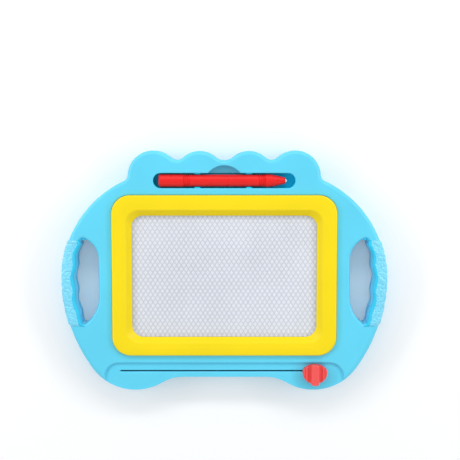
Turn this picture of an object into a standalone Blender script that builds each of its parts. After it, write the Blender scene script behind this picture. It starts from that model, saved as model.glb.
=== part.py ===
"""Magnetic drawing board: a two-part moulded housing with side handles, a framed
honeycomb screen, a sliding eraser and a magnetic pen in its tray.

The board lies on its back. +X runs to the right of the picture side, +Y to its
top and +Z out of the screen. The origin is the middle of the flat back.
"""
import math

import bmesh
import bpy
from mathutils import Matrix, Vector

BOARD_NAME = "magnetic_drawing_board"

# General clearances and fineness
SEAT_GAP = 0.0003
SLIDE_GAP = 0.0006
OVERRUN = 0.004
ARC_TOLERANCE = 0.00012
LEAST_ARC_STEPS = 2
EDGE_STEPS = 3
MERGE_DISTANCE = 0.00001
FULL_TURN = 2 * math.pi

# Housing thickness and heights
BOARD_THICKNESS = 0.020
PART_LINE_HEIGHT = 0.006
WALL = 0.002
FACE_EDGE_RADIUS = 0.0035
BACK_EDGE_RADIUS = 0.0020

# Sizes that the rest of the board follows
BODY_HALF_WIDTH = 0.1292
BEZEL_HEIGHT = 0.128
BEZEL_Y = -0.0031

# Bezel frame, which fills the width between the handles, and its window
HANDLE_SIDE_REACH = 0.0293
BEZEL_HANDLE_GAP = 0.0106
HANDLE_INNER_X = BODY_HALF_WIDTH - HANDLE_SIDE_REACH
BEZEL_WIDTH = 2 * (HANDLE_INNER_X - BEZEL_HANDLE_GAP)
BEZEL_TOP_Y = BEZEL_Y + BEZEL_HEIGHT / 2
BEZEL_BOTTOM_Y = BEZEL_Y - BEZEL_HEIGHT / 2
BEZEL_CORNER_RADIUS = 0.015
BEZEL_BAND = 0.0158
BEZEL_TOP_BAND = 0.0163
BEZEL_LOW_BAND = 0.0146
WINDOW_CORNER_RADIUS = 0.009
WINDOW_WIDTH = BEZEL_WIDTH - 2 * BEZEL_BAND
WINDOW_HEIGHT = BEZEL_HEIGHT - BEZEL_TOP_BAND - BEZEL_LOW_BAND
WINDOW_Y = BEZEL_Y + (BEZEL_LOW_BAND - BEZEL_TOP_BAND) / 2
BEZEL_PROUD = 0.0031
BEZEL_EDGE_RADIUS = 0.0020
BEZEL_CROWN = 0.0003
BEZEL_SLOPE_WIDTH = 0.0046
BEZEL_LIP_WALL = 0.0023
BEZEL_CORNER_STEPS = 6
PIN_RADIUS = 0.0014
PIN_HEAD_RADIUS = 0.0022
PIN_HEAD_HEIGHT = 0.0010
PIN_INSET = 0.0032
PIN_SIDES = 8
PIN_ALONG_SHARE = 0.61
PIN_ACROSS_SHARE = 0.55

# Screen panel behind the window
PANEL_OVERLAP = 0.0070
PANEL_WIDTH = WINDOW_WIDTH + 2 * PANEL_OVERLAP
PANEL_HEIGHT = WINDOW_HEIGHT + 2 * PANEL_OVERLAP
FILM_THICKNESS = 0.0003
CORE_THICKNESS = 0.0015
SEAL_WIDTH = 0.003
PANEL_RIB = 0.0012
HOOK_WIDTH = 0.008
HOOK_REACH = 0.0020
HOOK_THICKNESS = 0.0012
HOOK_SPACING_SHARE = 0.27
HOOKS_A_SIDE = 4

# Pen, lying along X with its tip at +X
PEN_CAP_RADIUS = 0.0050
PEN_CAP_LENGTH = 0.0198
PEN_CAP_ROUND = 0.0012
PEN_BARREL_RADIUS = 0.0047
PEN_BARREL_LENGTH = 0.0638
PEN_BORE_RADIUS = 0.0033
PEN_GROOVE_PITCH = 0.0016
PEN_GROOVE_DEPTH = 0.0005
PEN_GROOVE_FOOT_SHARE = 0.25
PEN_GROOVE_EDGE_SHARE = 0.5
PEN_GROOVES_A_END = 3
PEN_SPIGOT_LENGTH = 0.0070
PEN_NOSE_RADIUS = 0.0051
PEN_NOSE_STRAIGHT = 0.0050
PEN_NOSE_LENGTH = 0.0159
PEN_NOSE_TIP_RADIUS = 0.0023
PEN_NOSE_STEPS = 6
PEN_MAGNET_RADIUS = 0.0015
PEN_MAGNET_LENGTH = 0.0080
PEN_MAGNET_PROUD = 0.0010
PEN_SIDES = 20
PEN_SMOOTH_ANGLE = math.radians(40)
PEN_BODY_LENGTH = PEN_CAP_LENGTH + PEN_BARREL_LENGTH + PEN_NOSE_LENGTH + 2 * SEAT_GAP
PEN_LENGTH = PEN_BODY_LENGTH + PEN_MAGNET_PROUD

# Pen tray and the finger notch above it
TRAY_BEZEL_GAP = 0.0114
TRAY_Y = BEZEL_TOP_Y + TRAY_BEZEL_GAP
TRAY_REAR_GAP = 0.0043
TRAY_TIP_GAP = 0.0068
TRAY_HALF_LENGTH = (PEN_LENGTH + TRAY_REAR_GAP + TRAY_TIP_GAP) / 2
PEN_REAR_X = TRAY_REAR_GAP - TRAY_HALF_LENGTH
TRAY_SIDE_GAP = 0.0008
TRAY_RADIUS = PEN_NOSE_RADIUS + TRAY_SIDE_GAP
TRAY_DEPTH = 0.0089
NOTCH_RADIUS = 0.0165
NOTCH_RISE = 0.0119
NOTCH_TOP_Y = TRAY_Y + NOTCH_RISE
NOTCH_DEPTH = 0.0060
TRAY_NUB_CLEARANCE = 0.0003
TRAY_NUB_HALF_WIDTH = 0.0025
TRAY_NUB_DROP = 0.0015
LEFT_NUB_X = -0.0212
RIGHT_NUB_X = 0.0195

# Recess, slot and knob of the eraser
RECESS_DEPTH = 0.0020
RECESS_BEZEL_GAP = 0.0065
RECESS_TOP_Y = BEZEL_BOTTOM_Y - RECESS_BEZEL_GAP
RECESS_HANDLE_GAP = 0.0044
RECESS_HALF_WIDTH = HANDLE_INNER_X - RECESS_HANDLE_GAP
RECESS_CORNER_RADIUS = 0.011
SLOT_RECESS_GAP = 0.0067
SLOT_Y = RECESS_TOP_Y - SLOT_RECESS_GAP
SLOT_WIDTH = 0.0016
SLOT_END_GAP = 0.0122
SLOT_LEFT_X = SLOT_END_GAP - RECESS_HALF_WIDTH
KNOB_END_GAP = 0.0231
KNOB_X = RECESS_HALF_WIDTH - KNOB_END_GAP
KNOB_RADIUS = 0.0099
KNOB_LOWER_REACH = 0.0097
KNOB_EDGE_GAP = 0.0005
KNOB_UPPER_REACH = SLOT_RECESS_GAP - KNOB_EDGE_GAP
KNOB_RIB_HEIGHT = 0.0056
KNOB_RIDGE_HEIGHT = 0.0082
KNOB_RIDGE_WIDTH = 0.0063
KNOB_RIDGE_OVERHANG = 0.0008
KNOB_GROOVE_WIDTH = 0.0028
KNOB_GROOVE_DEPTH = 0.0018
KNOB_EDGE_RADIUS = 0.0010
KNOB_SIDES = 32
STEM_LENGTH = 0.0060
STEM_WIDTH = 0.0010
SLOT_RIGHT_X = KNOB_X + STEM_LENGTH / 2 + SEAT_GAP

# Housing outline, right half, from the top middle down to the bottom middle
SIDE_MIDDLE_DROP = 0.0027
SIDE_MIDDLE_Y = BEZEL_Y - SIDE_MIDDLE_DROP
INNER_LOBE_SHARE = 0.1509
INNER_LOBE_X = BODY_HALF_WIDTH * INNER_LOBE_SHARE
INNER_LOBE_RADIUS = 0.0189
INNER_LOBE_RISE = 0.0234
INNER_LOBE_TOP = TRAY_Y + INNER_LOBE_RISE
OUTER_LOBE_SHARE = 0.4350
OUTER_LOBE_X = BODY_HALF_WIDTH * OUTER_LOBE_SHARE
OUTER_LOBE_RADIUS = 0.0202
OUTER_LOBE_RISE = 0.0238
BODY_TOP = TRAY_Y + OUTER_LOBE_RISE
MIDDLE_VALLEY_RADIUS = 0.0109
LOBE_VALLEY_RADIUS = 0.0076
SHOULDER_NOTCH_RADIUS = 0.0051
SHOULDER_MARGIN = 0.0190
SHOULDER_RADIUS = BEZEL_TOP_Y - SIDE_MIDDLE_Y + SHOULDER_MARGIN
SHOULDER_CENTRE_X = BODY_HALF_WIDTH - SHOULDER_RADIUS
BODY_BOTTOM_DROP = 0.0224
BODY_BOTTOM = RECESS_TOP_Y - BODY_BOTTOM_DROP
LOWER_SIDE_MARGIN = 0.0341
LOWER_SIDE_RADIUS = SIDE_MIDDLE_Y - BODY_BOTTOM + LOWER_SIDE_MARGIN
LOWER_SIDE_CENTRE_X = BODY_HALF_WIDTH - LOWER_SIDE_RADIUS
BOTTOM_LOBE_SHARE = 0.5534
BOTTOM_LOBE_X = BODY_HALF_WIDTH * BOTTOM_LOBE_SHARE
BOTTOM_MIDDLE_RISE = 0.0106
BOTTOM_MIDDLE_Y = BODY_BOTTOM + BOTTOM_MIDDLE_RISE
BOTTOM_FILLET_RADIUS = 0.033

# Handle openings
HANDLE_UPPER_Y = 0.0095
HANDLE_UPPER_RADIUS = 0.0184
HANDLE_UPPER_ANGLE = math.radians(113)
HANDLE_UPPER_TIP_RADIUS = 0.0023
HANDLE_LOWER_Y = -0.0199
HANDLE_LOWER_RADIUS = 0.0279
HANDLE_LOWER_ANGLE = math.radians(232)
HANDLE_LOWER_TIP_RADIUS = 0.0020
HANDLE_RIM_RADIUS = 0.0022
HANDLE_RIM_STEPS = 2

# Finger grips along the outer side of each handle opening
GRIP_NARROW_WIDTH = 0.0096
GRIP_SCALLOP_HEIGHT = 0.0014
GRIP_SCALLOP_PITCH = 0.0185
GRIP_SCALLOP_CREST_Y = 0.0040
GRIP_SCALLOP_STEPS = 6
GRIP_EDGE_TOP_Y = 0.0230
GRIP_EDGE_BOTTOM_Y = -0.0375
GRIP_PAD_TOP_Y = 0.0251
GRIP_PAD_BOTTOM_Y = -0.0435
GRIP_PAD_WIDTH = 0.0170
GRIP_PAD_INNER_X = BODY_HALF_WIDTH - GRIP_PAD_WIDTH
GRIP_PROUD = 0.0010
GRIP_RAISE = 0.0012

# Eraser carrier and its magnet
MAGNET_WIDTH = 0.008
MAGNET_THICKNESS = 0.003
MAGNET_OVERHANG = 0.0010
MAGNET_LENGTH = WINDOW_HEIGHT + 2 * MAGNET_OVERHANG
MAGNET_FILM_GAP = 0.0004
CARRIER_WIDTH = 0.014
CARRIER_THICKNESS = 0.0027
CARRIER_FLANGE_WALL = 0.0012
CARRIER_FLANGE_HEIGHT = 0.0019
CARRIER_FOOT_MARGIN = 0.0023
SOCKET_WALL = 0.0008
SOCKET_FLOOR = 0.0010
GUIDE_DEPTH = 0.0015
GUIDE_WALL = 0.0012

# Rails on the rear housing that carry the eraser
UPPER_RAIL_INSET = 0.0106
UPPER_RAIL_Y = BEZEL_TOP_Y - UPPER_RAIL_INSET
LOWER_RAIL_INSET = 0.0016
LOWER_RAIL_Y = BEZEL_BOTTOM_Y + LOWER_RAIL_INSET
RAIL_WIDTH = 0.0016
RAIL_HALF_LENGTH = BEZEL_WIDTH / 2
CARRIER_HEAD_MARGIN = 0.0032
CARRIER_TOP_Y = UPPER_RAIL_Y + CARRIER_HEAD_MARGIN

# Lip that centres the rear housing in the front one
LIP_WALL = 0.0013
LIP_RISE = 0.0020
LIP_ROOT = 0.0010

# Screws that hold the housings together, and their bosses
TOP_SCREW_RISE = 0.0152
INNER_SCREW_SHIFT = 0.0025
OUTER_SCREW_SHIFT = 0.0058
SIDE_SCREW_INSET = 0.0019
UPPER_SIDE_SCREW_RISE = 0.0156
HANDLE_TOP_Y = HANDLE_UPPER_Y + HANDLE_UPPER_RADIUS
LOWER_SIDE_SCREW_DROP = 0.0034
SCREW_PLACES = (
    (INNER_LOBE_X + INNER_SCREW_SHIFT, TRAY_Y + TOP_SCREW_RISE),
    (OUTER_LOBE_X + OUTER_SCREW_SHIFT, TRAY_Y + TOP_SCREW_RISE),
    (HANDLE_INNER_X - SIDE_SCREW_INSET, HANDLE_TOP_Y + UPPER_SIDE_SCREW_RISE),
    (HANDLE_INNER_X - SIDE_SCREW_INSET, BEZEL_BOTTOM_Y - LOWER_SIDE_SCREW_DROP),
)
SCREW_HEAD_RADIUS = 0.0025
SCREW_HEAD_HEIGHT = 0.0018
SCREW_SHANK_RADIUS = 0.0013
SCREW_LENGTH = 0.0100
SCREW_POINT = 0.0012
DRIVE_RADIUS = 0.0010
DRIVE_DEPTH = 0.0009
SCREW_SIDES = 12
BOSS_RADIUS = 0.0036
BOSS_SIDES = 16
REAR_BOSS_HEIGHT = 0.0080
HEAD_SEAT_HEIGHT = 0.0045

# Heights worked out from the values above
REAR_TOP = PART_LINE_HEIGHT - SEAT_GAP / 2
FRONT_BOTTOM = PART_LINE_HEIGHT + SEAT_GAP / 2
FACE_UNDERSIDE = BOARD_THICKNESS - WALL
FRONT_FILM_TOP = FACE_UNDERSIDE - SEAT_GAP
CORE_TOP = FRONT_FILM_TOP - FILM_THICKNESS - SEAT_GAP
BACK_FILM_TOP = CORE_TOP - CORE_THICKNESS - SEAT_GAP
PANEL_BACK = BACK_FILM_TOP - FILM_THICKNESS
MAGNET_TOP = PANEL_BACK - MAGNET_FILM_GAP
CARRIER_TOP = MAGNET_TOP - MAGNET_THICKNESS - SEAT_GAP
CARRIER_UNDERSIDE = CARRIER_TOP - CARRIER_THICKNESS
RAIL_TOP = CARRIER_UNDERSIDE - SEAT_GAP
RECESS_FLOOR = BOARD_THICKNESS - RECESS_DEPTH
RECESS_UNDERSIDE = RECESS_FLOOR - WALL
KNOB_UNDERSIDE = RECESS_FLOOR + SEAT_GAP
BEZEL_UNDERSIDE = BOARD_THICKNESS + SEAT_GAP
BEZEL_LIP_BOTTOM = FRONT_FILM_TOP + SEAT_GAP
TRAY_FLOOR = BOARD_THICKNESS - TRAY_DEPTH
PEN_AXIS_HEIGHT = TRAY_FLOOR + SEAT_GAP + PEN_NOSE_RADIUS


def start_collections():
    for old in list(bpy.data.objects):
        bpy.data.objects.remove(old, do_unlink=True)
    scene = bpy.context.scene
    made = []
    for name in (BOARD_NAME, "cutters"):
        collection = bpy.data.collections.get(name) or bpy.data.collections.new(name)
        if name not in scene.collection.children:
            scene.collection.children.link(collection)
        made.append(collection)
    return made


PARTS, CUTTERS = start_collections()


# Materials

def plastic(name, color, roughness, metallic=0.0):
    material = bpy.data.materials.get(name) or bpy.data.materials.new(name)
    material.use_nodes = True
    shader = material.node_tree.nodes["Principled BSDF"]
    shader.inputs["Base Color"].default_value = (*color, 1.0)
    shader.inputs["Roughness"].default_value = roughness
    shader.inputs["Metallic"].default_value = metallic
    material.diffuse_color = (*color, 1.0)
    return material


def materials():
    return {
        "blue": plastic("blue_plastic", (0.115, 0.672, 0.922), 0.32),
        "rear_blue": plastic("rear_blue_plastic", (0.100, 0.610, 0.870), 0.38),
        "yellow": plastic("yellow_plastic", (0.956, 0.738, 0.020), 0.30),
        "film": plastic("screen_film", (0.680, 0.708, 0.775), 0.22),
        "core": plastic("honeycomb_plastic", (0.740, 0.750, 0.780), 0.45),
        "back_film": plastic("back_film", (0.780, 0.780, 0.780), 0.40),
        "seal": plastic("seal_adhesive", (0.820, 0.820, 0.800), 0.55),
        "pen_red": plastic("pen_red_plastic", (0.855, 0.031, 0.028), 0.28),
        "knob_red": plastic("knob_red_plastic", (0.838, 0.045, 0.040), 0.34),
        "carrier": plastic("carrier_plastic", (0.800, 0.800, 0.790), 0.42),
        "ferrite": plastic("ferrite_rubber", (0.055, 0.052, 0.050), 0.65),
        "pen_magnet": plastic("bright_steel", (0.620, 0.620, 0.610), 0.25, 1.0),
        "screw": plastic("zinc_steel", (0.560, 0.560, 0.550), 0.35, 1.0),
    }


# Objects and meshes

def new_object(name, mesh, collection):
    thing = bpy.data.objects.new(name, mesh)
    collection.objects.link(thing)
    return thing


def make_part(name, mesh, material):
    mesh.materials.clear()
    mesh.materials.append(material)
    return new_object(name, mesh, PARTS)


def make_cutter(name, mesh):
    cutter = new_object(name, mesh, CUTTERS)
    cutter.hide_render = True
    cutter.display_type = "WIRE"
    return cutter


def finished_mesh(name, bm):
    bmesh.ops.recalc_face_normals(bm, faces=bm.faces)
    mesh = bpy.data.meshes.new(name)
    bm.to_mesh(mesh)
    bm.free()
    return mesh


def combine(target, tool, operation):
    modifier = target.modifiers.new(tool.name, "BOOLEAN")
    modifier.operation = operation
    modifier.solver = "EXACT"
    modifier.object = tool
    return target


def cut(target, tool):
    return combine(target, tool, "DIFFERENCE")


def smooth(thing, angle):
    thing.data.shade_smooth()
    thing.data.set_sharp_from_angle(angle=angle)


def add_rings(bm, rings, around=False):
    """Skins rings of as many points each. Around joins the last ring to the first,
    as in a frame, and otherwise the end rings are capped."""
    loops = [[bm.verts.new(point) for point in ring] for ring in rings]
    count = len(loops[0])
    pairs = list(zip(loops, loops[1:]))
    if around:
        pairs.append((loops[-1], loops[0]))
    for low, high in pairs:
        for i in range(count):
            j = (i + 1) % count
            bm.faces.new((low[i], low[j], high[j], high[i]))
    if not around:
        bm.faces.new(loops[0])
        bm.faces.new(loops[-1])


def add_box(bm, low, high):
    size = Vector(high) - Vector(low)
    middle = (Vector(high) + Vector(low)) / 2
    place = Matrix.Translation(middle) @ Matrix.Diagonal((*size, 1.0))
    bmesh.ops.create_cube(bm, size=1.0, matrix=place)


def add_cylinder(bm, x, y, radius, low, high, sides):
    place = Matrix.Translation((x, y, (low + high) / 2))
    bmesh.ops.create_cone(
        bm, cap_ends=True, segments=sides, radius1=radius, radius2=radius, depth=high - low, matrix=place
    )


def level(points, height):
    return [(x, y, height) for x, y in points]


def slab(name, points, low, high):
    """A flat outline as a filled 2D curve, extruded between two heights."""
    curve = bpy.data.curves.new(name, "CURVE")
    curve.dimensions = "2D"
    curve.fill_mode = "BOTH"
    curve.extrude = (high - low) / 2
    spline = curve.splines.new("POLY")
    spline.points.add(len(points) - 1)
    for place, (x, y) in zip(spline.points, points):
        place.co = (x, y, 0.0, 1.0)
    spline.use_cyclic_u = True
    holder = new_object(name, curve, CUTTERS)
    holder.location.z = (low + high) / 2
    bpy.context.view_layer.update()
    seen = holder.evaluated_get(bpy.context.evaluated_depsgraph_get())
    mesh = bpy.data.meshes.new_from_object(seen)
    place = holder.matrix_world.copy()
    bpy.data.objects.remove(holder, do_unlink=True)
    bm = bmesh.new()
    bm.from_mesh(mesh)
    bpy.data.meshes.remove(mesh)
    bmesh.ops.transform(bm, matrix=place, verts=bm.verts)
    bmesh.ops.remove_doubles(bm, verts=bm.verts, dist=MERGE_DISTANCE)
    return finished_mesh(name, bm)


def turned(name, profile, sides):
    """A profile of (radius, height) points turned round Z by a Screw modifier."""
    mesh = bpy.data.meshes.new(name)
    points = [(radius, 0.0, height) for radius, height in profile]
    edges = [(i, i + 1) for i in range(len(points) - 1)]
    if profile[0][0] > 0.0:
        edges.append((len(points) - 1, 0))
    mesh.from_pydata(points, edges, [])
    holder = new_object(name, mesh, CUTTERS)
    screw = holder.modifiers.new("turn", "SCREW")
    screw.axis = "Z"
    screw.angle = FULL_TURN
    screw.steps = sides
    screw.render_steps = sides
    screw.use_merge_vertices = True
    screw.merge_threshold = MERGE_DISTANCE
    bpy.context.view_layer.update()
    seen = holder.evaluated_get(bpy.context.evaluated_depsgraph_get())
    result = bpy.data.meshes.new_from_object(seen)
    bpy.data.objects.remove(holder, do_unlink=True)
    bm = bmesh.new()
    bm.from_mesh(result)
    bpy.data.meshes.remove(result)
    bmesh.ops.remove_doubles(bm, verts=bm.verts, dist=MERGE_DISTANCE)
    return finished_mesh(name, bm)


def copies(name, mesh, places):
    bm = bmesh.new()
    for place in places:
        one = mesh.copy()
        one.transform(Matrix.Translation(place))
        bm.from_mesh(one)
        bpy.data.meshes.remove(one)
    return finished_mesh(name, bm)


# Outlines

def direction(angle):
    return Vector((math.cos(angle), math.sin(angle)))


def heading(from_point, to_point):
    gap = to_point - from_point
    return math.atan2(gap.y, gap.x)


def arc(centre, radius, start, end):
    """Points along an arc, with enough of them to stay within the tolerance."""
    step = 2 * math.acos(max(0.0, 1 - ARC_TOLERANCE / max(radius, ARC_TOLERANCE)))
    count = max(LEAST_ARC_STEPS, math.ceil(abs(end - start) / step))
    return [centre + radius * direction(start + (end - start) * i / count) for i in range(count + 1)]


def fillet_centre(first, first_radius, second, second_radius, fillet, side):
    """Centre of the fillet that touches two round lobes from outside."""
    gap = second - first
    span = gap.length
    near = first_radius + fillet
    far = second_radius + fillet
    along = (near * near - far * far + span * span) / (2 * span)
    across = math.sqrt(near * near - along * along)
    forward = gap / span
    sideways = Vector((-forward.y, forward.x)) * side
    return first + forward * along + sideways * across


def unwound(angle, below):
    while angle > below:
        angle -= FULL_TURN
    return angle


def outline_arcs():
    """Right half of the housing's outline as (centre, radius, start, end, bulge):
    bulge is 1 on a lobe and -1 on a hollow. It runs clockwise from the top."""
    inner = Vector((INNER_LOBE_X, INNER_LOBE_TOP - INNER_LOBE_RADIUS))
    outer = Vector((OUTER_LOBE_X, BODY_TOP - OUTER_LOBE_RADIUS))
    shoulder = Vector((SHOULDER_CENTRE_X, SIDE_MIDDLE_Y))
    shoulder_radius = BODY_HALF_WIDTH - SHOULDER_CENTRE_X
    lower = Vector((LOWER_SIDE_CENTRE_X, SIDE_MIDDLE_Y))
    lower_radius = BODY_HALF_WIDTH - LOWER_SIDE_CENTRE_X
    reach = INNER_LOBE_RADIUS + MIDDLE_VALLEY_RADIUS
    middle = Vector((0.0, inner.y + math.sqrt(reach * reach - inner.x * inner.x)))
    valley = fillet_centre(inner, INNER_LOBE_RADIUS, outer, OUTER_LOBE_RADIUS, LOBE_VALLEY_RADIUS, 1)
    notch = fillet_centre(outer, OUTER_LOBE_RADIUS, shoulder, shoulder_radius, SHOULDER_NOTCH_RADIUS, 1)
    sideways = BOTTOM_LOBE_X - LOWER_SIDE_CENTRE_X
    drop = BODY_BOTTOM - SIDE_MIDDLE_Y
    lobe_radius = (lower_radius**2 - sideways**2 - drop**2) / (2 * (lower_radius + drop))
    lobe = Vector((BOTTOM_LOBE_X, BODY_BOTTOM + lobe_radius))
    fillet_y = BOTTOM_MIDDLE_Y - BOTTOM_FILLET_RADIUS
    reach = lobe_radius + BOTTOM_FILLET_RADIUS
    fillet = Vector((lobe.x - math.sqrt(reach**2 - (lobe.y - fillet_y) ** 2), fillet_y))
    right_angle = math.pi / 2
    return [
        (middle, MIDDLE_VALLEY_RADIUS, -right_angle, heading(middle, inner), -1),
        (inner, INNER_LOBE_RADIUS, heading(inner, middle), heading(inner, valley), 1),
        (valley, LOBE_VALLEY_RADIUS, heading(valley, inner), heading(valley, outer), -1),
        (outer, OUTER_LOBE_RADIUS, heading(outer, valley), heading(outer, notch), 1),
        (notch, SHOULDER_NOTCH_RADIUS, heading(notch, outer), heading(notch, shoulder), -1),
        (shoulder, shoulder_radius, heading(shoulder, notch), 0.0, 1),
        (lower, lower_radius, 0.0, heading(lower, lobe), 1),
        (lobe, lobe_radius, heading(lower, lobe), heading(lobe, fillet), 1),
        (fillet, BOTTOM_FILLET_RADIUS, heading(fillet, lobe), right_angle, -1),
    ]


def body_outline(inset=0.0):
    """The housing's outline, moved inwards by inset."""
    half = []
    for centre, radius, start, end, bulge in outline_arcs():
        if bulge > 0:
            end = unwound(end, start)
        else:
            end = -unwound(-end, -start)
        count = len(arc(centre, radius, start, end)) - 1
        moved = radius - bulge * inset
        for i in range(1 if half else 0, count + 1):
            half.append(centre + moved * direction(start + (end - start) * i / count))
    other = [Vector((-point.x, point.y)) for point in reversed(half[1:])]
    return [(point.x, point.y) for point in reversed(half + other)]


def side_x(y):
    """Where the housing's right side lies at a height y on the picture."""
    centre = SHOULDER_CENTRE_X if y > SIDE_MIDDLE_Y else LOWER_SIDE_CENTRE_X
    radius = BODY_HALF_WIDTH - centre
    return centre + math.sqrt(radius**2 - (y - SIDE_MIDDLE_Y) ** 2)


def grip_edge():
    """Scalloped inner edge of the right grip, from top to bottom."""
    length = GRIP_EDGE_TOP_Y - GRIP_EDGE_BOTTOM_Y
    count = math.ceil(length / GRIP_SCALLOP_PITCH * GRIP_SCALLOP_STEPS)
    points = []
    for i in range(count + 1):
        y = GRIP_EDGE_TOP_Y - length * i / count
        wave = math.cos(math.pi * (y - GRIP_SCALLOP_CREST_Y) / GRIP_SCALLOP_PITCH)
        points.append(Vector((side_x(y) - GRIP_NARROW_WIDTH - GRIP_SCALLOP_HEIGHT * wave**2, y)))
    return points


def handle_outline():
    """The right handle opening, clockwise from the foot of its straight inner side."""
    upper = Vector((HANDLE_INNER_X + HANDLE_UPPER_RADIUS, HANDLE_UPPER_Y))
    upper_tip = upper + (HANDLE_UPPER_RADIUS - HANDLE_UPPER_TIP_RADIUS) * direction(HANDLE_UPPER_ANGLE)
    lower = Vector((HANDLE_INNER_X + HANDLE_LOWER_RADIUS, HANDLE_LOWER_Y))
    lower_tip = lower + (HANDLE_LOWER_RADIUS - HANDLE_LOWER_TIP_RADIUS) * direction(HANDLE_LOWER_ANGLE)
    points = arc(upper, HANDLE_UPPER_RADIUS, math.pi, HANDLE_UPPER_ANGLE)
    points += arc(upper_tip, HANDLE_UPPER_TIP_RADIUS, HANDLE_UPPER_ANGLE, 0.0)[1:]
    points += grip_edge()
    points += arc(lower_tip, HANDLE_LOWER_TIP_RADIUS, 0.0, HANDLE_LOWER_ANGLE - FULL_TURN)
    points += arc(lower, HANDLE_LOWER_RADIUS, HANDLE_LOWER_ANGLE, math.pi)[1:]
    return points


def grown(points, distance):
    """A clockwise outline moved outwards along its own normals."""
    result = []
    count = len(points)
    for i, point in enumerate(points):
        along = (points[(i + 1) % count] - points[i - 1]).normalized()
        result.append(point + Vector((-along.y, along.x)) * distance)
    return result


def rounded_rectangle(middle_y, width, height, radius, steps):
    points = []
    for corner, (right, up) in enumerate(((1, 1), (-1, 1), (-1, -1), (1, -1))):
        centre = Vector((right * (width / 2 - radius), middle_y + up * (height / 2 - radius)))
        for i in range(steps + 1):
            point = centre + radius * direction(math.pi / 2 * (corner + i / steps))
            points.append((point.x, point.y))
    return points


def stadium(y, half_length, radius):
    right = arc(Vector((half_length - radius, y)), radius, -math.pi / 2, math.pi / 2)
    left = arc(Vector((radius - half_length, y)), radius, math.pi / 2, 3 * math.pi / 2)
    return [(point.x, point.y) for point in right + left]


def quarter_round(radius, steps):
    """(inset, drop) pairs round an edge, from its side to its flat."""
    angles = [math.pi / 2 * i / steps for i in range(steps + 1)]
    return [(radius * (1 - math.cos(angle)), radius * (1 - math.sin(angle))) for angle in angles]


# Shapes that both housings share

def housing_block(name, low, high, low_radius, high_radius, inset=0.0):
    """The housing's outline between two heights. A radius rounds the edge there."""
    sections = []
    if low_radius:
        for shrink, drop in reversed(quarter_round(low_radius, EDGE_STEPS)):
            sections.append((inset + shrink, low + drop))
    else:
        sections.append((inset, low))
    if high_radius:
        for shrink, drop in quarter_round(high_radius, EDGE_STEPS):
            sections.append((inset + shrink, high - drop))
    else:
        sections.append((inset, high))
    bm = bmesh.new()
    add_rings(bm, [level(body_outline(shrink), height) for shrink, height in sections])
    return finished_mesh(name, bm)


def grip_pads(name, block, low, high):
    """The raised grips: a proud housing block, kept only beside the handles."""
    keep = bmesh.new()
    for side in (1, -1):
        near = side * GRIP_PAD_INNER_X
        far = side * (BODY_HALF_WIDTH + OVERRUN)
        add_box(keep, (min(near, far), GRIP_PAD_BOTTOM_Y, low), (max(near, far), GRIP_PAD_TOP_Y, high))
    zone = make_cutter(name + "_zone", finished_mesh(name + "_zone", keep))
    return combine(make_cutter(name, block), zone, "INTERSECT")


def handle_cutter(name, sections):
    """Both handle openings. Each section is (growth, height)."""
    bm = bmesh.new()
    for side in (1, -1):
        rings = []
        for growth, height in sections:
            rings.append([(side * point.x, point.y, height) for point in grown(handle_outline(), growth)])
        add_rings(bm, rings)
    return make_cutter(name, finished_mesh(name, bm))


def screw_places():
    return [(side * x, y) for x, y in SCREW_PLACES for side in (1, -1)]


def post_cutter(name, radius, low, high, sides):
    bm = bmesh.new()
    for x, y in screw_places():
        add_cylinder(bm, x, y, radius, low, high, sides)
    return make_cutter(name, finished_mesh(name, bm))


# Front housing

def tray_points(growth):
    return stadium(TRAY_Y, TRAY_HALF_LENGTH + growth, TRAY_RADIUS + growth)


def notch_points(growth):
    radius = NOTCH_RADIUS + growth
    centre = Vector((0.0, NOTCH_TOP_Y - NOTCH_RADIUS))
    lift = math.asin((TRAY_Y - centre.y) / radius)
    return [(point.x, point.y) for point in arc(centre, radius, lift, math.pi - lift)]


def recess_points(growth):
    radius = RECESS_CORNER_RADIUS + growth
    top = RECESS_TOP_Y + growth
    reach = RECESS_HALF_WIDTH + growth
    bottom = BODY_BOTTOM - OVERRUN
    corner = Vector((reach - radius, top - radius))
    right = [(point.x, point.y) for point in arc(corner, radius, 0.0, math.pi / 2)]
    left = [(-x, y) for x, y in reversed(right)]
    return [(reach, bottom)] + right + left + [(-reach, bottom)]


def front_cavity():
    """The hollow inside the front housing, less the walls that stand in it."""
    inner_radius = FACE_EDGE_RADIUS - WALL
    block = housing_block("front_cavity", -OVERRUN, FACE_UNDERSIDE, 0.0, inner_radius, WALL)
    cavity = make_cutter("front_cavity", block)
    low = -2 * OVERRUN
    high = BOARD_THICKNESS + OVERRUN
    cut(cavity, handle_cutter("front_handle_walls", [(WALL, low), (WALL, high)]))
    walls = slab("tray_walls", tray_points(WALL), TRAY_FLOOR - WALL, high)
    cut(cavity, make_cutter("tray_walls", walls))
    notch_floor = BOARD_THICKNESS - NOTCH_DEPTH
    walls = slab("notch_walls", notch_points(WALL), notch_floor - WALL, high)
    cut(cavity, make_cutter("notch_walls", walls))
    walls = slab("recess_walls", recess_points(WALL), RECESS_UNDERSIDE, high)
    cut(cavity, make_cutter("recess_walls", walls))
    cut(cavity, panel_ribs())
    cut(cavity, post_cutter("front_bosses", BOSS_RADIUS, REAR_BOSS_HEIGHT + SEAT_GAP, high, BOSS_SIDES))
    return cavity


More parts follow.
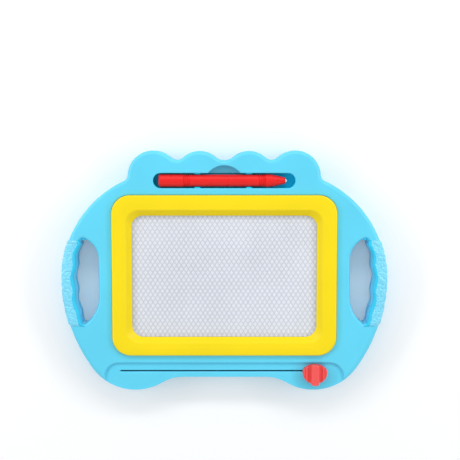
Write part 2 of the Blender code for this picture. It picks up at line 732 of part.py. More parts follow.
def panel_ribs():
    """A rib round the screen panel, and the hooks that hold it from behind."""
    inner_width = PANEL_WIDTH + 2 * SEAT_GAP
    inner_height = PANEL_HEIGHT + 2 * SEAT_GAP
    outer_width = inner_width + 2 * PANEL_RIB
    outer_height = inner_height + 2 * PANEL_RIB
    top = BOARD_THICKNESS + OVERRUN
    bm = bmesh.new()
    half_width = outer_width / 2
    half_height = outer_height / 2
    low = (-half_width, WINDOW_Y - half_height, PANEL_BACK)
    add_box(bm, low, (half_width, WINDOW_Y + half_height, top))
    ribs = make_cutter("panel_ribs", finished_mesh("panel_ribs", bm))
    bm = bmesh.new()
    half_width = inner_width / 2
    half_height = inner_height / 2
    low = (-half_width, WINDOW_Y - half_height, PANEL_BACK - OVERRUN)
    add_box(bm, low, (half_width, WINDOW_Y + half_height, FACE_UNDERSIDE))
    cut(ribs, make_cutter("panel_space", finished_mesh("panel_space", bm)))
    bm = bmesh.new()
    catch_top = PANEL_BACK - SEAT_GAP
    catch_bottom = catch_top - HOOK_THICKNESS
    for side in (1, -1):
        root = WINDOW_Y + side * outer_height / 2
        leg = WINDOW_Y + side * inner_height / 2
        tip = leg - side * HOOK_REACH
        for x in hook_places():
            left = x - HOOK_WIDTH / 2
            right = x + HOOK_WIDTH / 2
            profile = [
                (root, FACE_UNDERSIDE + WALL / 2),
                (root, catch_bottom),
                (tip, catch_bottom),
                (tip, catch_top),
                (leg, catch_top),
                (leg, FACE_UNDERSIDE + WALL / 2),
            ]
            add_rings(bm, [[(left, y, z) for y, z in profile], [(right, y, z) for y, z in profile]])
    hooks = make_cutter("panel_hooks", finished_mesh("panel_hooks", bm))
    return combine(ribs, hooks, "UNION")


def hook_places():
    spacing = PANEL_WIDTH * HOOK_SPACING_SHARE
    return [spacing * (i - (HOOKS_A_SIDE - 1) / 2) for i in range(HOOKS_A_SIDE)]


def pin_places():
    across = BEZEL_WIDTH / 2 - PIN_INSET
    along = BEZEL_HEIGHT / 2 - PIN_INSET
    half_length = BEZEL_WIDTH * PIN_ALONG_SHARE / 2
    half_height = BEZEL_HEIGHT * PIN_ACROSS_SHARE / 2
    places = []
    for right in (1, -1):
        for up in (1, -1):
            places.append((right * half_length, BEZEL_Y + up * along))
            places.append((right * across, BEZEL_Y + up * half_height))
    return places


def tray_nubs():
    """The four nubs that hold the pen in its tray."""
    reach = PEN_BARREL_RADIUS + TRAY_NUB_CLEARANCE
    floor = TRAY_FLOOR - WALL / 2
    top = BOARD_THICKNESS - TRAY_NUB_DROP
    bm = bmesh.new()
    for x in (LEFT_NUB_X, RIGHT_NUB_X):
        for side in (1, -1):
            near = TRAY_Y + side * reach
            far = TRAY_Y + side * (TRAY_RADIUS + WALL / 2)
            add_box(
                bm,
                (x - TRAY_NUB_HALF_WIDTH, min(near, far), floor),
                (x + TRAY_NUB_HALF_WIDTH, max(near, far), top),
            )
    return make_cutter("tray_nubs", finished_mesh("tray_nubs", bm))


def front_housing(material):
    bottom = -OVERRUN
    top = BOARD_THICKNESS
    block = housing_block("front_housing", bottom, top, 0.0, FACE_EDGE_RADIUS)
    housing = make_part("front_housing", block, material)
    raised = top + GRIP_RAISE
    block = housing_block("front_grips", bottom, raised, 0.0, FACE_EDGE_RADIUS, -GRIP_PROUD)
    combine(housing, grip_pads("front_grips", block, 2 * bottom, raised + OVERRUN), "UNION")
    cut(housing, front_cavity())
    high = raised + OVERRUN
    sections = [(0.0, 2 * bottom), (0.0, top - HANDLE_RIM_RADIUS)]
    for shrink, drop in quarter_round(HANDLE_RIM_RADIUS, HANDLE_RIM_STEPS)[1:]:
        sections.append((shrink, top - drop))
    sections.append((HANDLE_RIM_RADIUS, high))
    cut(housing, handle_cutter("front_handles", sections))
    tray = make_cutter("pen_tray", slab("pen_tray", tray_points(0.0), TRAY_FLOOR, high))
    cut(tray, tray_nubs())
    cut(housing, tray)
    notch = slab("finger_notch", notch_points(0.0), top - NOTCH_DEPTH, high)
    cut(housing, make_cutter("finger_notch", notch))
    recess = slab("eraser_recess", recess_points(0.0), RECESS_FLOOR, high)
    cut(housing, make_cutter("eraser_recess", recess))
    bm = bmesh.new()
    slot_low = RECESS_UNDERSIDE - OVERRUN
    half = SLOT_WIDTH / 2
    add_box(bm, (SLOT_LEFT_X, SLOT_Y - half, slot_low), (SLOT_RIGHT_X, SLOT_Y + half, high))
    cut(housing, make_cutter("eraser_slot", finished_mesh("eraser_slot", bm)))
    lip = BEZEL_BAND - BEZEL_LIP_WALL - SEAT_GAP
    window = bezel_ring(lip)
    cut(housing, make_cutter("screen_window", slab("screen_window", window, FACE_UNDERSIDE - WALL / 2, high)))
    bm = bmesh.new()
    for x, y in pin_places():
        add_cylinder(bm, x, y, PIN_RADIUS + SEAT_GAP, FACE_UNDERSIDE - WALL, high, PIN_SIDES)
    cut(housing, make_cutter("pin_holes", finished_mesh("pin_holes", bm)))
    pilot = SCREW_SHANK_RADIUS + SEAT_GAP
    pilot_top = HEAD_SEAT_HEIGHT + SCREW_LENGTH + SEAT_GAP
    cut(housing, post_cutter("pilot_holes", pilot, 0.0, pilot_top, SCREW_SIDES))
    bm = bmesh.new()
    reach = BODY_HALF_WIDTH + OVERRUN
    add_box(bm, (-reach, BODY_BOTTOM - OVERRUN, 3 * bottom), (reach, BODY_TOP + OVERRUN, FRONT_BOTTOM))
    cut(housing, make_cutter("front_part_line", finished_mesh("front_part_line", bm)))
    return housing


# Rear housing

def rear_cavity():
    top = PART_LINE_HEIGHT + REAR_BOSS_HEIGHT
    block = housing_block("rear_cavity", WALL, top, 0.0, 0.0, WALL)
    cavity = make_cutter("rear_cavity", block)
    high = top + OVERRUN
    low = -OVERRUN
    cut(cavity, handle_cutter("rear_handle_walls", [(WALL, low), (WALL, high)]))
    return cavity


def rear_lip(name):
    """The lip that stands inside the front housing's wall."""
    near = WALL + SEAT_GAP
    sections = [
        (LIP_ROOT, WALL + LIP_ROOT),
        (near + LIP_WALL, WALL + LIP_ROOT),
        (near + LIP_WALL, PART_LINE_HEIGHT + LIP_RISE),
        (near, PART_LINE_HEIGHT + LIP_RISE),
        (near, REAR_TOP - SEAT_GAP),
        (LIP_ROOT, REAR_TOP - SEAT_GAP),
    ]
    bm = bmesh.new()
    add_rings(bm, [level(body_outline(inset), height) for inset, height in sections], around=True)
    return make_cutter(name, finished_mesh(name, bm))


def rear_housing(material):
    high = PART_LINE_HEIGHT + OVERRUN
    block = housing_block("rear_housing", 0.0, high, BACK_EDGE_RADIUS, 0.0)
    housing = make_part("rear_housing", block, material)
    block = housing_block("rear_grips", 0.0, high, BACK_EDGE_RADIUS, 0.0, -GRIP_PROUD)
    combine(housing, grip_pads("rear_grips", block, -OVERRUN, high + OVERRUN), "UNION")
    cut(housing, rear_cavity())
    bm = bmesh.new()
    reach = BODY_HALF_WIDTH + OVERRUN
    add_box(bm, (-reach, BODY_BOTTOM - OVERRUN, REAR_TOP), (reach, BODY_TOP + OVERRUN, high + OVERRUN))
    cut(housing, make_cutter("rear_part_line", finished_mesh("rear_part_line", bm)))
    combine(housing, rear_lip("rear_lip"), "UNION")
    bm = bmesh.new()
    root = WALL / 2
    for y in (UPPER_RAIL_Y, LOWER_RAIL_Y):
        half = RAIL_WIDTH / 2
        add_box(bm, (-RAIL_HALF_LENGTH, y - half, root), (RAIL_HALF_LENGTH, y + half, RAIL_TOP))
    combine(housing, make_cutter("eraser_rails", finished_mesh("eraser_rails", bm)), "UNION")
    bosses = post_cutter("rear_bosses", BOSS_RADIUS, root, REAR_BOSS_HEIGHT, BOSS_SIDES)
    combine(housing, bosses, "UNION")
    sections = []
    for shrink, drop in quarter_round(HANDLE_RIM_RADIUS, HANDLE_RIM_STEPS)[1:]:
        sections.insert(0, (shrink, drop))
    sections.insert(0, (HANDLE_RIM_RADIUS, -OVERRUN))
    sections.append((0.0, HANDLE_RIM_RADIUS))
    sections.append((0.0, high))
    cut(housing, handle_cutter("rear_handles", sections))
    head = SCREW_HEAD_RADIUS + SEAT_GAP
    cut(housing, post_cutter("head_recesses", head, -OVERRUN, HEAD_SEAT_HEIGHT, BOSS_SIDES))
    shank = SCREW_SHANK_RADIUS + SEAT_GAP
    cut(housing, post_cutter("shank_holes", shank, -OVERRUN, high, SCREW_SIDES))
    return housing


# Bezel frame

def bezel_ring(inset):
    """The bezel's outer edge moved inwards. Its corners grow to the window's radius."""
    share = inset / BEZEL_BAND
    radius = BEZEL_CORNER_RADIUS + (WINDOW_CORNER_RADIUS - BEZEL_CORNER_RADIUS) * share
    top = BEZEL_TOP_Y - BEZEL_TOP_BAND * share
    bottom = BEZEL_BOTTOM_Y + BEZEL_LOW_BAND * share
    width = BEZEL_WIDTH - 2 * inset
    return rounded_rectangle((top + bottom) / 2, width, top - bottom, radius, BEZEL_CORNER_STEPS)


def bezel_sections():
    """(inset, height) round the bezel's section, from its outer foot over the top."""
    top = BOARD_THICKNESS + BEZEL_PROUD
    shoulder = top - BEZEL_CROWN
    slope_start = BEZEL_BAND - BEZEL_SLOPE_WIDTH
    lip = BEZEL_BAND - BEZEL_LIP_WALL
    sections = [(0.0, BEZEL_UNDERSIDE)]
    for shrink, drop in quarter_round(BEZEL_EDGE_RADIUS, EDGE_STEPS):
        sections.append((shrink, shoulder - drop))
    sections.append((slope_start / 2, top))
    sections.append((slope_start - BEZEL_CROWN, shoulder))
    sections.append((slope_start, shoulder - BEZEL_CROWN))
    sections.append((BEZEL_BAND, BEZEL_LIP_BOTTOM + BEZEL_CROWN))
    sections.append((BEZEL_BAND, BEZEL_LIP_BOTTOM))
    sections.append((lip, BEZEL_LIP_BOTTOM))
    sections.append((lip, BEZEL_UNDERSIDE))
    return sections


def bezel_frame(material):
    bm = bmesh.new()
    add_rings(bm, [level(bezel_ring(inset), height) for inset, height in bezel_sections()], around=True)
    frame = make_part("bezel_frame", finished_mesh("bezel_frame", bm), material)
    head_top = FACE_UNDERSIDE - SEAT_GAP
    head_bottom = head_top - PIN_HEAD_HEIGHT
    root = BEZEL_UNDERSIDE + BEZEL_CROWN
    profile = [(0.0, root), (PIN_RADIUS, root), (PIN_RADIUS, head_top), (PIN_HEAD_RADIUS, head_top)]
    profile += [(PIN_HEAD_RADIUS, head_bottom), (0.0, head_bottom)]
    pin = turned("bezel_pin", profile, PIN_SIDES)
    pins = make_cutter("bezel_pins", copies("bezel_pins", pin, [(x, y, 0.0) for x, y in pin_places()]))
    return combine(frame, pins, "UNION")


# Screen panel

def panel_plate(name, width, height, low, thickness, material):
    bm = bmesh.new()
    half_width = width / 2
    half_height = height / 2
    high = low + thickness
    add_box(bm, (-half_width, WINDOW_Y - half_height, low), (half_width, WINDOW_Y + half_height, high))
    return make_part(name, finished_mesh(name, bm), material)


def screen_panel(made):
    front_low = FRONT_FILM_TOP - FILM_THICKNESS
    panel_plate("screen_front_film", PANEL_WIDTH, PANEL_HEIGHT, front_low, FILM_THICKNESS, made["film"])
    panel_plate("screen_back_film", PANEL_WIDTH, PANEL_HEIGHT, PANEL_BACK, FILM_THICKNESS, made["back_film"])
    core_low = CORE_TOP - CORE_THICKNESS
    margin = SEAL_WIDTH + SEAT_GAP
    core_width = PANEL_WIDTH - 2 * margin
    core_height = PANEL_HEIGHT - 2 * margin
    panel_plate("honeycomb_core", core_width, core_height, core_low, CORE_THICKNESS, made["core"])
    seal = panel_plate("screen_edge_seal", PANEL_WIDTH, PANEL_HEIGHT, core_low, CORE_THICKNESS, made["seal"])
    inner_width = PANEL_WIDTH - 2 * SEAL_WIDTH
    inner_height = PANEL_HEIGHT - 2 * SEAL_WIDTH
    bm = bmesh.new()
    low = (-inner_width / 2, WINDOW_Y - inner_height / 2, core_low - OVERRUN)
    high = (inner_width / 2, WINDOW_Y + inner_height / 2, CORE_TOP + OVERRUN)
    add_box(bm, low, high)
    cut(seal, make_cutter("seal_middle", finished_mesh("seal_middle", bm)))


# Eraser

def knob_edge(side_share, inset=0.0):
    """Upper and lower reach of the knob's edge at a share of its radius sideways."""
    depth_share = math.sqrt(1 - side_share**2)
    return (KNOB_UPPER_REACH - inset) * depth_share, -(KNOB_LOWER_REACH - inset) * depth_share


def knob_outline(inset):
    """A round knob whose upper half is flattened to clear the recess's edge."""
    points = []
    for i in range(KNOB_SIDES):
        turn = FULL_TURN * i / KNOB_SIDES
        upper, lower = knob_edge(math.cos(turn), inset)
        y = upper if math.sin(turn) > 0 else lower
        points.append(((KNOB_RADIUS - inset) * math.cos(turn), y))
    return points


def slider_knob(material):
    """The knob about its own middle, at the slot. Its stem reaches the carrier."""
    base = KNOB_UNDERSIDE
    rib_top = base + KNOB_RIB_HEIGHT
    sections = [(0.0, base)]
    for shrink, drop in quarter_round(KNOB_EDGE_RADIUS, EDGE_STEPS):
        sections.append((shrink, rib_top - drop))
    bm = bmesh.new()
    add_rings(bm, [level(knob_outline(inset), height) for inset, height in sections])
    knob = make_part("slider_knob", finished_mesh("slider_knob", bm), material)
    bm = bmesh.new()
    groove_floor = rib_top - KNOB_GROOVE_DEPTH
    for side in (1, -1):
        near = side * KNOB_RIDGE_WIDTH / 2
        far = near + side * KNOB_GROOVE_WIDTH
        low = (min(near, far), -2 * KNOB_RADIUS, groove_floor)
        add_box(bm, low, (max(near, far), 2 * KNOB_RADIUS, rib_top + OVERRUN))
    cut(knob, make_cutter("knob_grooves", finished_mesh("knob_grooves", bm)))
    half = KNOB_RIDGE_WIDTH / 2
    upper, _ = knob_edge(half / KNOB_RADIUS)
    lower = -(KNOB_LOWER_REACH + KNOB_RIDGE_OVERHANG)
    ridge_top = base + KNOB_RIDGE_HEIGHT
    profile = [(half, groove_floor - KNOB_EDGE_RADIUS)]
    for shrink, drop in quarter_round(KNOB_EDGE_RADIUS, EDGE_STEPS):
        profile.append((half - shrink, ridge_top - drop))
    profile += [(-x, z) for x, z in reversed(profile)]
    bm = bmesh.new()
    add_rings(bm, [[(x, y, z) for x, z in profile] for y in (lower, upper)])
    combine(knob, make_cutter("knob_ridge", finished_mesh("knob_ridge", bm)), "UNION")
    bm = bmesh.new()
    stem_low = CARRIER_UNDERSIDE + SOCKET_FLOOR + SEAT_GAP
    stem_x = STEM_LENGTH / 2
    stem_y = STEM_WIDTH / 2
    add_box(bm, (-stem_x, -stem_y, stem_low), (stem_x, stem_y, base + SOCKET_FLOOR))
    combine(knob, make_cutter("knob_stem", finished_mesh("knob_stem", bm)), "UNION")
    return knob


def eraser_carrier(material):
    """The arm behind the screen: it joins the knob to the magnet strip's holder."""
    half = CARRIER_WIDTH / 2
    foot = SLOT_Y - CARRIER_FOOT_MARGIN
    bm = bmesh.new()
    add_box(bm, (-half, foot, CARRIER_UNDERSIDE), (half, CARRIER_TOP_Y, CARRIER_TOP))
    carrier = make_part("eraser_carrier", finished_mesh("eraser_carrier", bm), material)
    seat_x = MAGNET_WIDTH / 2 + SEAT_GAP
    seat_y = MAGNET_LENGTH / 2 + SEAT_GAP
    wall_x = seat_x + CARRIER_FLANGE_WALL
    wall_y = seat_y + CARRIER_FLANGE_WALL
    wall_top = CARRIER_TOP + CARRIER_FLANGE_HEIGHT
    root = CARRIER_TOP - CARRIER_THICKNESS / 2
    bm = bmesh.new()
    add_box(bm, (-wall_x, WINDOW_Y - wall_y, root), (wall_x, WINDOW_Y + wall_y, wall_top))
    combine(carrier, make_cutter("magnet_walls", finished_mesh("magnet_walls", bm)), "UNION")
    bm = bmesh.new()
    add_box(bm, (-seat_x, WINDOW_Y - seat_y, CARRIER_TOP), (seat_x, WINDOW_Y + seat_y, wall_top + OVERRUN))
    cut(carrier, make_cutter("magnet_seat", finished_mesh("magnet_seat", bm)))
    socket_x = STEM_LENGTH / 2 + SEAT_GAP
    socket_y = STEM_WIDTH / 2 + SEAT_GAP
    socket_top = RECESS_UNDERSIDE - SLIDE_GAP
    bm = bmesh.new()
    low = (-socket_x - SOCKET_WALL, SLOT_Y - socket_y - SOCKET_WALL, root)
    add_box(bm, low, (socket_x + SOCKET_WALL, SLOT_Y + socket_y + SOCKET_WALL, socket_top))
    combine(carrier, make_cutter("socket_walls", finished_mesh("socket_walls", bm)), "UNION")
    bm = bmesh.new()
    low = (-socket_x, SLOT_Y - socket_y, CARRIER_UNDERSIDE + SOCKET_FLOOR)
    add_box(bm, low, (socket_x, SLOT_Y + socket_y, socket_top + OVERRUN))
    cut(carrier, make_cutter("stem_socket", finished_mesh("stem_socket", bm)))
    bm = bmesh.new()
    for side in (1, -1):
        near = UPPER_RAIL_Y + side * (RAIL_WIDTH / 2 + SLIDE_GAP)
        far = near + side * GUIDE_WALL
        low = (-half, min(near, far), CARRIER_UNDERSIDE - GUIDE_DEPTH)
        add_box(bm, low, (half, max(near, far), root))
    combine(carrier, make_cutter("rail_guides", finished_mesh("rail_guides", bm)), "UNION")
    return carrier


def eraser_magnet(material):
    bm = bmesh.new()
    half = MAGNET_WIDTH / 2
    low = (-half, WINDOW_Y - MAGNET_LENGTH / 2, MAGNET_TOP - MAGNET_THICKNESS)
    add_box(bm, low, (half, WINDOW_Y + MAGNET_LENGTH / 2, MAGNET_TOP))
    return make_part("eraser_magnet_strip", finished_mesh("eraser_magnet_strip", bm), material)


def eraser(made):
    """The sliding pieces hang on an empty on the slot's line, at the knob."""
    slide = new_object("eraser_slide", None, PARTS)
    slide.location = (KNOB_X, 0.0, 0.0)
    knob = slider_knob(made["knob_red"])
    knob.location = (0.0, SLOT_Y, 0.0)
    for tool in [modifier.object for modifier in knob.modifiers]:
        tool.parent = knob
    carrier = eraser_carrier(made["carrier"])
    for tool in [modifier.object for modifier in carrier.modifiers]:
        tool.parent = carrier
    magnet = eraser_magnet(made["ferrite"])
    for piece in (knob, carrier, magnet):
        piece.parent = slide


# Screws

def housing_screws(material):
    seat = HEAD_SEAT_HEIGHT - SEAT_GAP
    head_low = seat - SCREW_HEAD_HEIGHT
    tip = seat + SCREW_LENGTH
    profile = [
        (0.0, tip),
        (SCREW_SHANK_RADIUS, tip - SCREW_POINT),
        (SCREW_SHANK_RADIUS, seat),
        (SCREW_HEAD_RADIUS, seat),
        (SCREW_HEAD_RADIUS, head_low),
        (DRIVE_RADIUS, head_low),
        (DRIVE_RADIUS, head_low + DRIVE_DEPTH),
        (0.0, head_low + DRIVE_DEPTH),
    ]
    mesh = turned("housing_screw", profile, SCREW_SIDES)
    for number, (x, y) in enumerate(screw_places(), 1):
        screw = make_part(f"housing_screw_{number}", mesh, material)
        screw.location = (x, y, 0.0)


# Pen

def pen_grooves(start, sign):
    """(radius, height) points of the ring grooves at one end of the barrel."""
    points = []
    for i in range(PEN_GROOVES_A_END):
        edge = start + sign * PEN_GROOVE_PITCH * i
        foot = edge + sign * PEN_GROOVE_PITCH * PEN_GROOVE_FOOT_SHARE
        points.append((PEN_BARREL_RADIUS - PEN_GROOVE_DEPTH, foot))
        points.append((PEN_BARREL_RADIUS, edge + sign * PEN_GROOVE_PITCH * PEN_GROOVE_EDGE_SHARE))
        points.append((PEN_BARREL_RADIUS, edge + sign * PEN_GROOVE_PITCH))
    return points


def pen_barrel_profile():
    low = PEN_CAP_LENGTH + SEAT_GAP
    high = low + PEN_BARREL_LENGTH
    shoulder = PEN_BARREL_RADIUS - PEN_GROOVE_DEPTH
    outer = [(shoulder, high)] + pen_grooves(high, -1)
    outer += list(reversed(pen_grooves(low, 1))) + [(shoulder, low)]
    return [(PEN_BORE_RADIUS, high)] + outer + [(PEN_BORE_RADIUS, low)]


def pen_cap_profile():
    spigot = PEN_BORE_RADIUS - SEAT_GAP
    top = PEN_CAP_LENGTH + SEAT_GAP + PEN_SPIGOT_LENGTH
    points = [(0.0, top), (spigot, top), (spigot, PEN_CAP_LENGTH), (PEN_CAP_RADIUS, PEN_CAP_LENGTH)]
    rounding = reversed(quarter_round(PEN_CAP_ROUND, EDGE_STEPS))
    edge = [(PEN_CAP_RADIUS - shrink, drop) for shrink, drop in rounding]
    return points + list(reversed(edge)) + [(0.0, 0.0)]


def pen_nose_profile():
    base = PEN_BODY_LENGTH - PEN_NOSE_LENGTH
    tip = PEN_BODY_LENGTH
    bore = PEN_MAGNET_RADIUS + SEAT_GAP
    bore_floor = tip + PEN_MAGNET_PROUD - PEN_MAGNET_LENGTH - SEAT_GAP
    points = [(0.0, bore_floor), (bore, bore_floor), (bore, tip), (PEN_NOSE_TIP_RADIUS, tip)]
    for i in range(1, PEN_NOSE_STEPS + 1):
        share = i / PEN_NOSE_STEPS
        height = tip - (PEN_NOSE_LENGTH - PEN_NOSE_STRAIGHT) * share
        swell = math.sin(math.pi / 2 * share)
        points.append((PEN_NOSE_TIP_RADIUS + (PEN_NOSE_RADIUS - PEN_NOSE_TIP_RADIUS) * swell, height))
    spigot = PEN_BORE_RADIUS - SEAT_GAP
    low = base - SEAT_GAP - PEN_SPIGOT_LENGTH
    return points + [(PEN_NOSE_RADIUS, base), (spigot, base), (spigot, low), (0.0, low)]


def pen_magnet_profile():
    low = PEN_LENGTH - PEN_MAGNET_LENGTH
    return [(0.0, PEN_LENGTH), (PEN_MAGNET_RADIUS, PEN_LENGTH), (PEN_MAGNET_RADIUS, low), (0.0, low)]


def pen(made):
    """The pen's pieces are turned about the pen's axis, which an empty lays in the tray."""
    holder = new_object("pen_lift", None, PARTS)
    holder.location = (PEN_REAR_X, TRAY_Y, PEN_AXIS_HEIGHT)
    holder.rotation_euler = (0.0, math.pi / 2, 0.0)
    pieces = (
        ("pen_end_cap", pen_cap_profile(), made["pen_red"]),
        ("pen_barrel", pen_barrel_profile(), made["pen_red"]),
        ("pen_nose", pen_nose_profile(), made["pen_red"]),
        ("pen_magnet", pen_magnet_profile(), made["pen_magnet"]),
    )
    for name, profile, material in pieces:
        piece = make_part(name, turned(name, profile, PEN_SIDES), material)
        smooth(piece, PEN_SMOOTH_ANGLE)
        piece.parent = holder


def build():
    made = materials()
    front_housing(made["blue"])
    rear_housing(made["rear_blue"])
    bezel_frame(made["yellow"])
    screen_panel(made)
    eraser(made)
    housing_screws(made["screw"])
    pen(made)


build()
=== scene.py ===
"""Looks of the magnetic drawing board: fine moulded shells, pebbled grips, a honeycomb
screen, the eraser's knob and the pen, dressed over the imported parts.

The board lies on its back. +X runs to the right of the picture side, +Y to its top
and +Z out of the screen. Lengths are metres.
"""
import math
import random

import bmesh
import bpy
from mathutils import Matrix, Vector
from mathutils.kdtree import KDTree


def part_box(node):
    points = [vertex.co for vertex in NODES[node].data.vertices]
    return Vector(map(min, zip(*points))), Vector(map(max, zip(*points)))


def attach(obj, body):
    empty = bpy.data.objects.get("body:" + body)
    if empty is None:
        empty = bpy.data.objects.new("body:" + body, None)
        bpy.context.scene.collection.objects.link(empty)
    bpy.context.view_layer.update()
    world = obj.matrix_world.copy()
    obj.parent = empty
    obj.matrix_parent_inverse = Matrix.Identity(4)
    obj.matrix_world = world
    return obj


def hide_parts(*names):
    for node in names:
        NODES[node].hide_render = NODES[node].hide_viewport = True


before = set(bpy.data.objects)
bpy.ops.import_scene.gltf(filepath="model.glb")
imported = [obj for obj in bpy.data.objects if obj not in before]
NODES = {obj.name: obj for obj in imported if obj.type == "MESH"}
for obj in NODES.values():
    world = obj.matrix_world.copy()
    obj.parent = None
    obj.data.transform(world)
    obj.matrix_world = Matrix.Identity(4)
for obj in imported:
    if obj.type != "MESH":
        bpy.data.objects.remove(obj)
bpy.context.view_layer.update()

# Fineness
ARC_TOLERANCE = 0.000015
LEAST_ARC_STEPS = 3
MERGE_DISTANCE = 0.00001
WELD_DISTANCE = 0.000001
OVERRUN = 0.004
FULL_TURN = 2 * math.pi
RIGHT_ANGLE = math.pi / 2
SMOOTH_ANGLE = math.radians(32)
EDGE_STEPS = 8
CORNER_STEPS = 20
ROUND_STEPS = 48
LITTLE_ROUND = 0.0003
BEVEL_STEPS = 4
BEVEL_PROFILE = 0.5
FLAT_FACE_WEIGHT = 100

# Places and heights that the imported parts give
FRONT_LOW, FRONT_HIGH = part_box("front_housing")
FRAME_LOW, FRAME_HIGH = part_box("bezel_frame")
FILM_LOW, FILM_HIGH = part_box("screen_front_film")
CORE_LOW, CORE_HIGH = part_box("honeycomb_core")
KNOB_LOW, KNOB_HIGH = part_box("slider_knob")
CAP_LOW, CAP_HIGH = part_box("pen_end_cap")
NOSE_LOW, NOSE_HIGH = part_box("pen_nose")
TIP_LOW, TIP_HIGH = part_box("pen_magnet")

# Housing
BOARD_THICKNESS = 0.020
WALL = 0.002
SEAT_GAP = 0.0003
PART_LINE_HEIGHT = 0.006
FACE_EDGE_RADIUS = 0.0035
BACK_EDGE_RADIUS = 0.0020
FRONT_BOTTOM = FRONT_LOW.z
REAR_TOP = PART_LINE_HEIGHT - SEAT_GAP / 2
BODY_HALF_WIDTH = 0.1292
SIDE_MIDDLE_Y = -0.0058
INNER_LOBE_X = 0.0195
INNER_LOBE_RADIUS = 0.0189
INNER_LOBE_TOP = 0.0957
OUTER_LOBE_X = 0.0562
OUTER_LOBE_RADIUS = 0.0202
BODY_TOP = FRONT_HIGH.y
MIDDLE_VALLEY_RADIUS = 0.0109
LOBE_VALLEY_RADIUS = 0.0076
SHOULDER_NOTCH_RADIUS = 0.0051
SHOULDER_RADIUS = 0.0857
LOWER_SIDE_RADIUS = 0.1243
BOTTOM_LOBE_X = 0.0715
BODY_BOTTOM = FRONT_LOW.y
BOTTOM_MIDDLE_Y = -0.0854
BOTTOM_FILLET_RADIUS = 0.033

# Handle openings and grips
HANDLE_INNER_X = 0.0999
HANDLE_UPPER_Y = 0.0095
HANDLE_UPPER_RADIUS = 0.0184
HANDLE_UPPER_ANGLE = math.radians(113)
HANDLE_UPPER_TIP_RADIUS = 0.0023
HANDLE_LOWER_Y = -0.0199
HANDLE_LOWER_RADIUS = 0.0279
HANDLE_LOWER_ANGLE = math.radians(232)
HANDLE_LOWER_TIP_RADIUS = 0.0020
HANDLE_RIM_RADIUS = 0.0022
GRIP_NARROW_WIDTH = 0.0096
GRIP_SCALLOP_HEIGHT = 0.0014
GRIP_SCALLOP_PITCH = 0.0185
GRIP_SCALLOP_CREST_Y = 0.0040
GRIP_SCALLOP_STEPS = 18
GRIP_EDGE_TOP_Y = 0.0216
GRIP_EDGE_BOTTOM_Y = -0.0375
GRIP_PAD_TOP_Y = 0.0251
GRIP_PAD_BOTTOM_Y = -0.0435
GRIP_PAD_INNER_X = 0.1122
GRIP_PROUD = 0.0010
GRIP_RAISE = 0.0012
GRIP_END_RUN = 0.0016
GRIP_SINK = 0.0017
GRIP_VOXEL = 0.00036
GRIP_FOOT_RUN = 0.0020
PEBBLE_PITCH = 0.0020
PEBBLE_SPAN_SHARE = 0.72
PEBBLE_JITTER_SHARE = 0.36
PEBBLE_HEIGHT = 0.00080
PEBBLE_START = 0.0016
PEBBLE_FULL = 0.0032
PEBBLE_SEED = 11
PEBBLE_LEAST_SIZE_SHARE = 0.7
SKIN_SMOOTH_ROUNDS = 2
SKIN_SMOOTH_SHARE = 0.5
# Width of the band beside each handle opening that takes the deeper blue of painted shade
RIM_SHADE_WIDTH = 0.0027

# Bezel frame, and the channel in the face that it stands in
BEZEL_WIDTH = FRAME_HIGH.x - FRAME_LOW.x
BEZEL_CORNER_RADIUS = 0.015
BEZEL_BAND = 0.0158
BEZEL_TOP_BAND = 0.0163
BEZEL_LOW_BAND = 0.0146
WINDOW_CORNER_RADIUS = 0.009
BEZEL_EDGE_RADIUS = 0.0014
BEZEL_CROWN = 0.0003
BEZEL_SLOPE_WIDTH = 0.0046
BEZEL_LIP_WALL = 0.0023
BEZEL_CROWN_STEPS = 8
BEZEL_TURN_STEPS = 6
BEZEL_TURN_RUN = 0.0009
CHANNEL_MARGIN = 0.00038
CHANNEL_WIDTH = 0.0012
CHANNEL_DEPTH = 0.0018
BEZEL_SKIRT = 0.0006

# Honeycomb cells: upright hexagons with short vertical sides
CELL_PITCH = 0.0038
CELL_ROW_PITCH = 0.00296
CELL_SIDE_SHARE = 0.14
CELL_WALL_SHARE = 0.11
CELL_SLOPE_SHARE = 0.16
CELL_DROP = 0.00040

# Pen tray and finger notch
TRAY_Y = (CAP_LOW.y + CAP_HIGH.y) / 2
TRAY_HALF_LENGTH = 0.0561
TRAY_RADIUS = 0.0059
TRAY_DEPTH = 0.0089
TRAY_RIM = 0.0007
TRAY_FLOOR_ROUND = 0.0012
NOTCH_RADIUS = 0.0165
NOTCH_TOP_Y = 0.0842
NOTCH_DEPTH = 0.0060
NUB_PLACES = (-0.0212, 0.0195)
NUB_HALF_WIDTH = 0.0025
NUB_REACH = 0.0050
NUB_DROP = 0.0009
NUB_ROUND = 0.0009

# Recess, slot and knob of the eraser
RECESS_DEPTH = 0.0020
RECESS_FLOOR = BOARD_THICKNESS - RECESS_DEPTH
RECESS_TOP_Y = -0.0736
RECESS_HALF_WIDTH = 0.0955
RECESS_CORNER_RADIUS = 0.011
RECESS_RIM = 0.0012
SLOT_Y = -0.0803
SLOT_HALF_WIDTH = 0.00056
SLOT_LEFT_X = -0.0833
SLOT_RIM = 0.0004
SLOT_LIP_WIDTH = 0.0017
SLOT_LIP_DEPTH = 0.0008
KNOB_X = (KNOB_LOW.x + KNOB_HIGH.x) / 2
KNOB_RADIUS = (KNOB_HIGH.x - KNOB_LOW.x) / 2
KNOB_UPPER_REACH = KNOB_HIGH.y - SLOT_Y
KNOB_LOWER_REACH = 0.0097
KNOB_BASE = RECESS_FLOOR + SEAT_GAP
KNOB_RIB_HEIGHT = 0.0056
KNOB_EDGE_RADIUS = 0.0010
KNOB_NECK_INSET = 0.0003
KNOB_NECK_HEIGHT = 0.0026
KNOB_NECK_FLARE = 0.0005
KNOB_SIDES = 96
RIDGE_HALF_WIDTH = 0.00315
RIDGE_ROOT_DEPTH = 0.0040
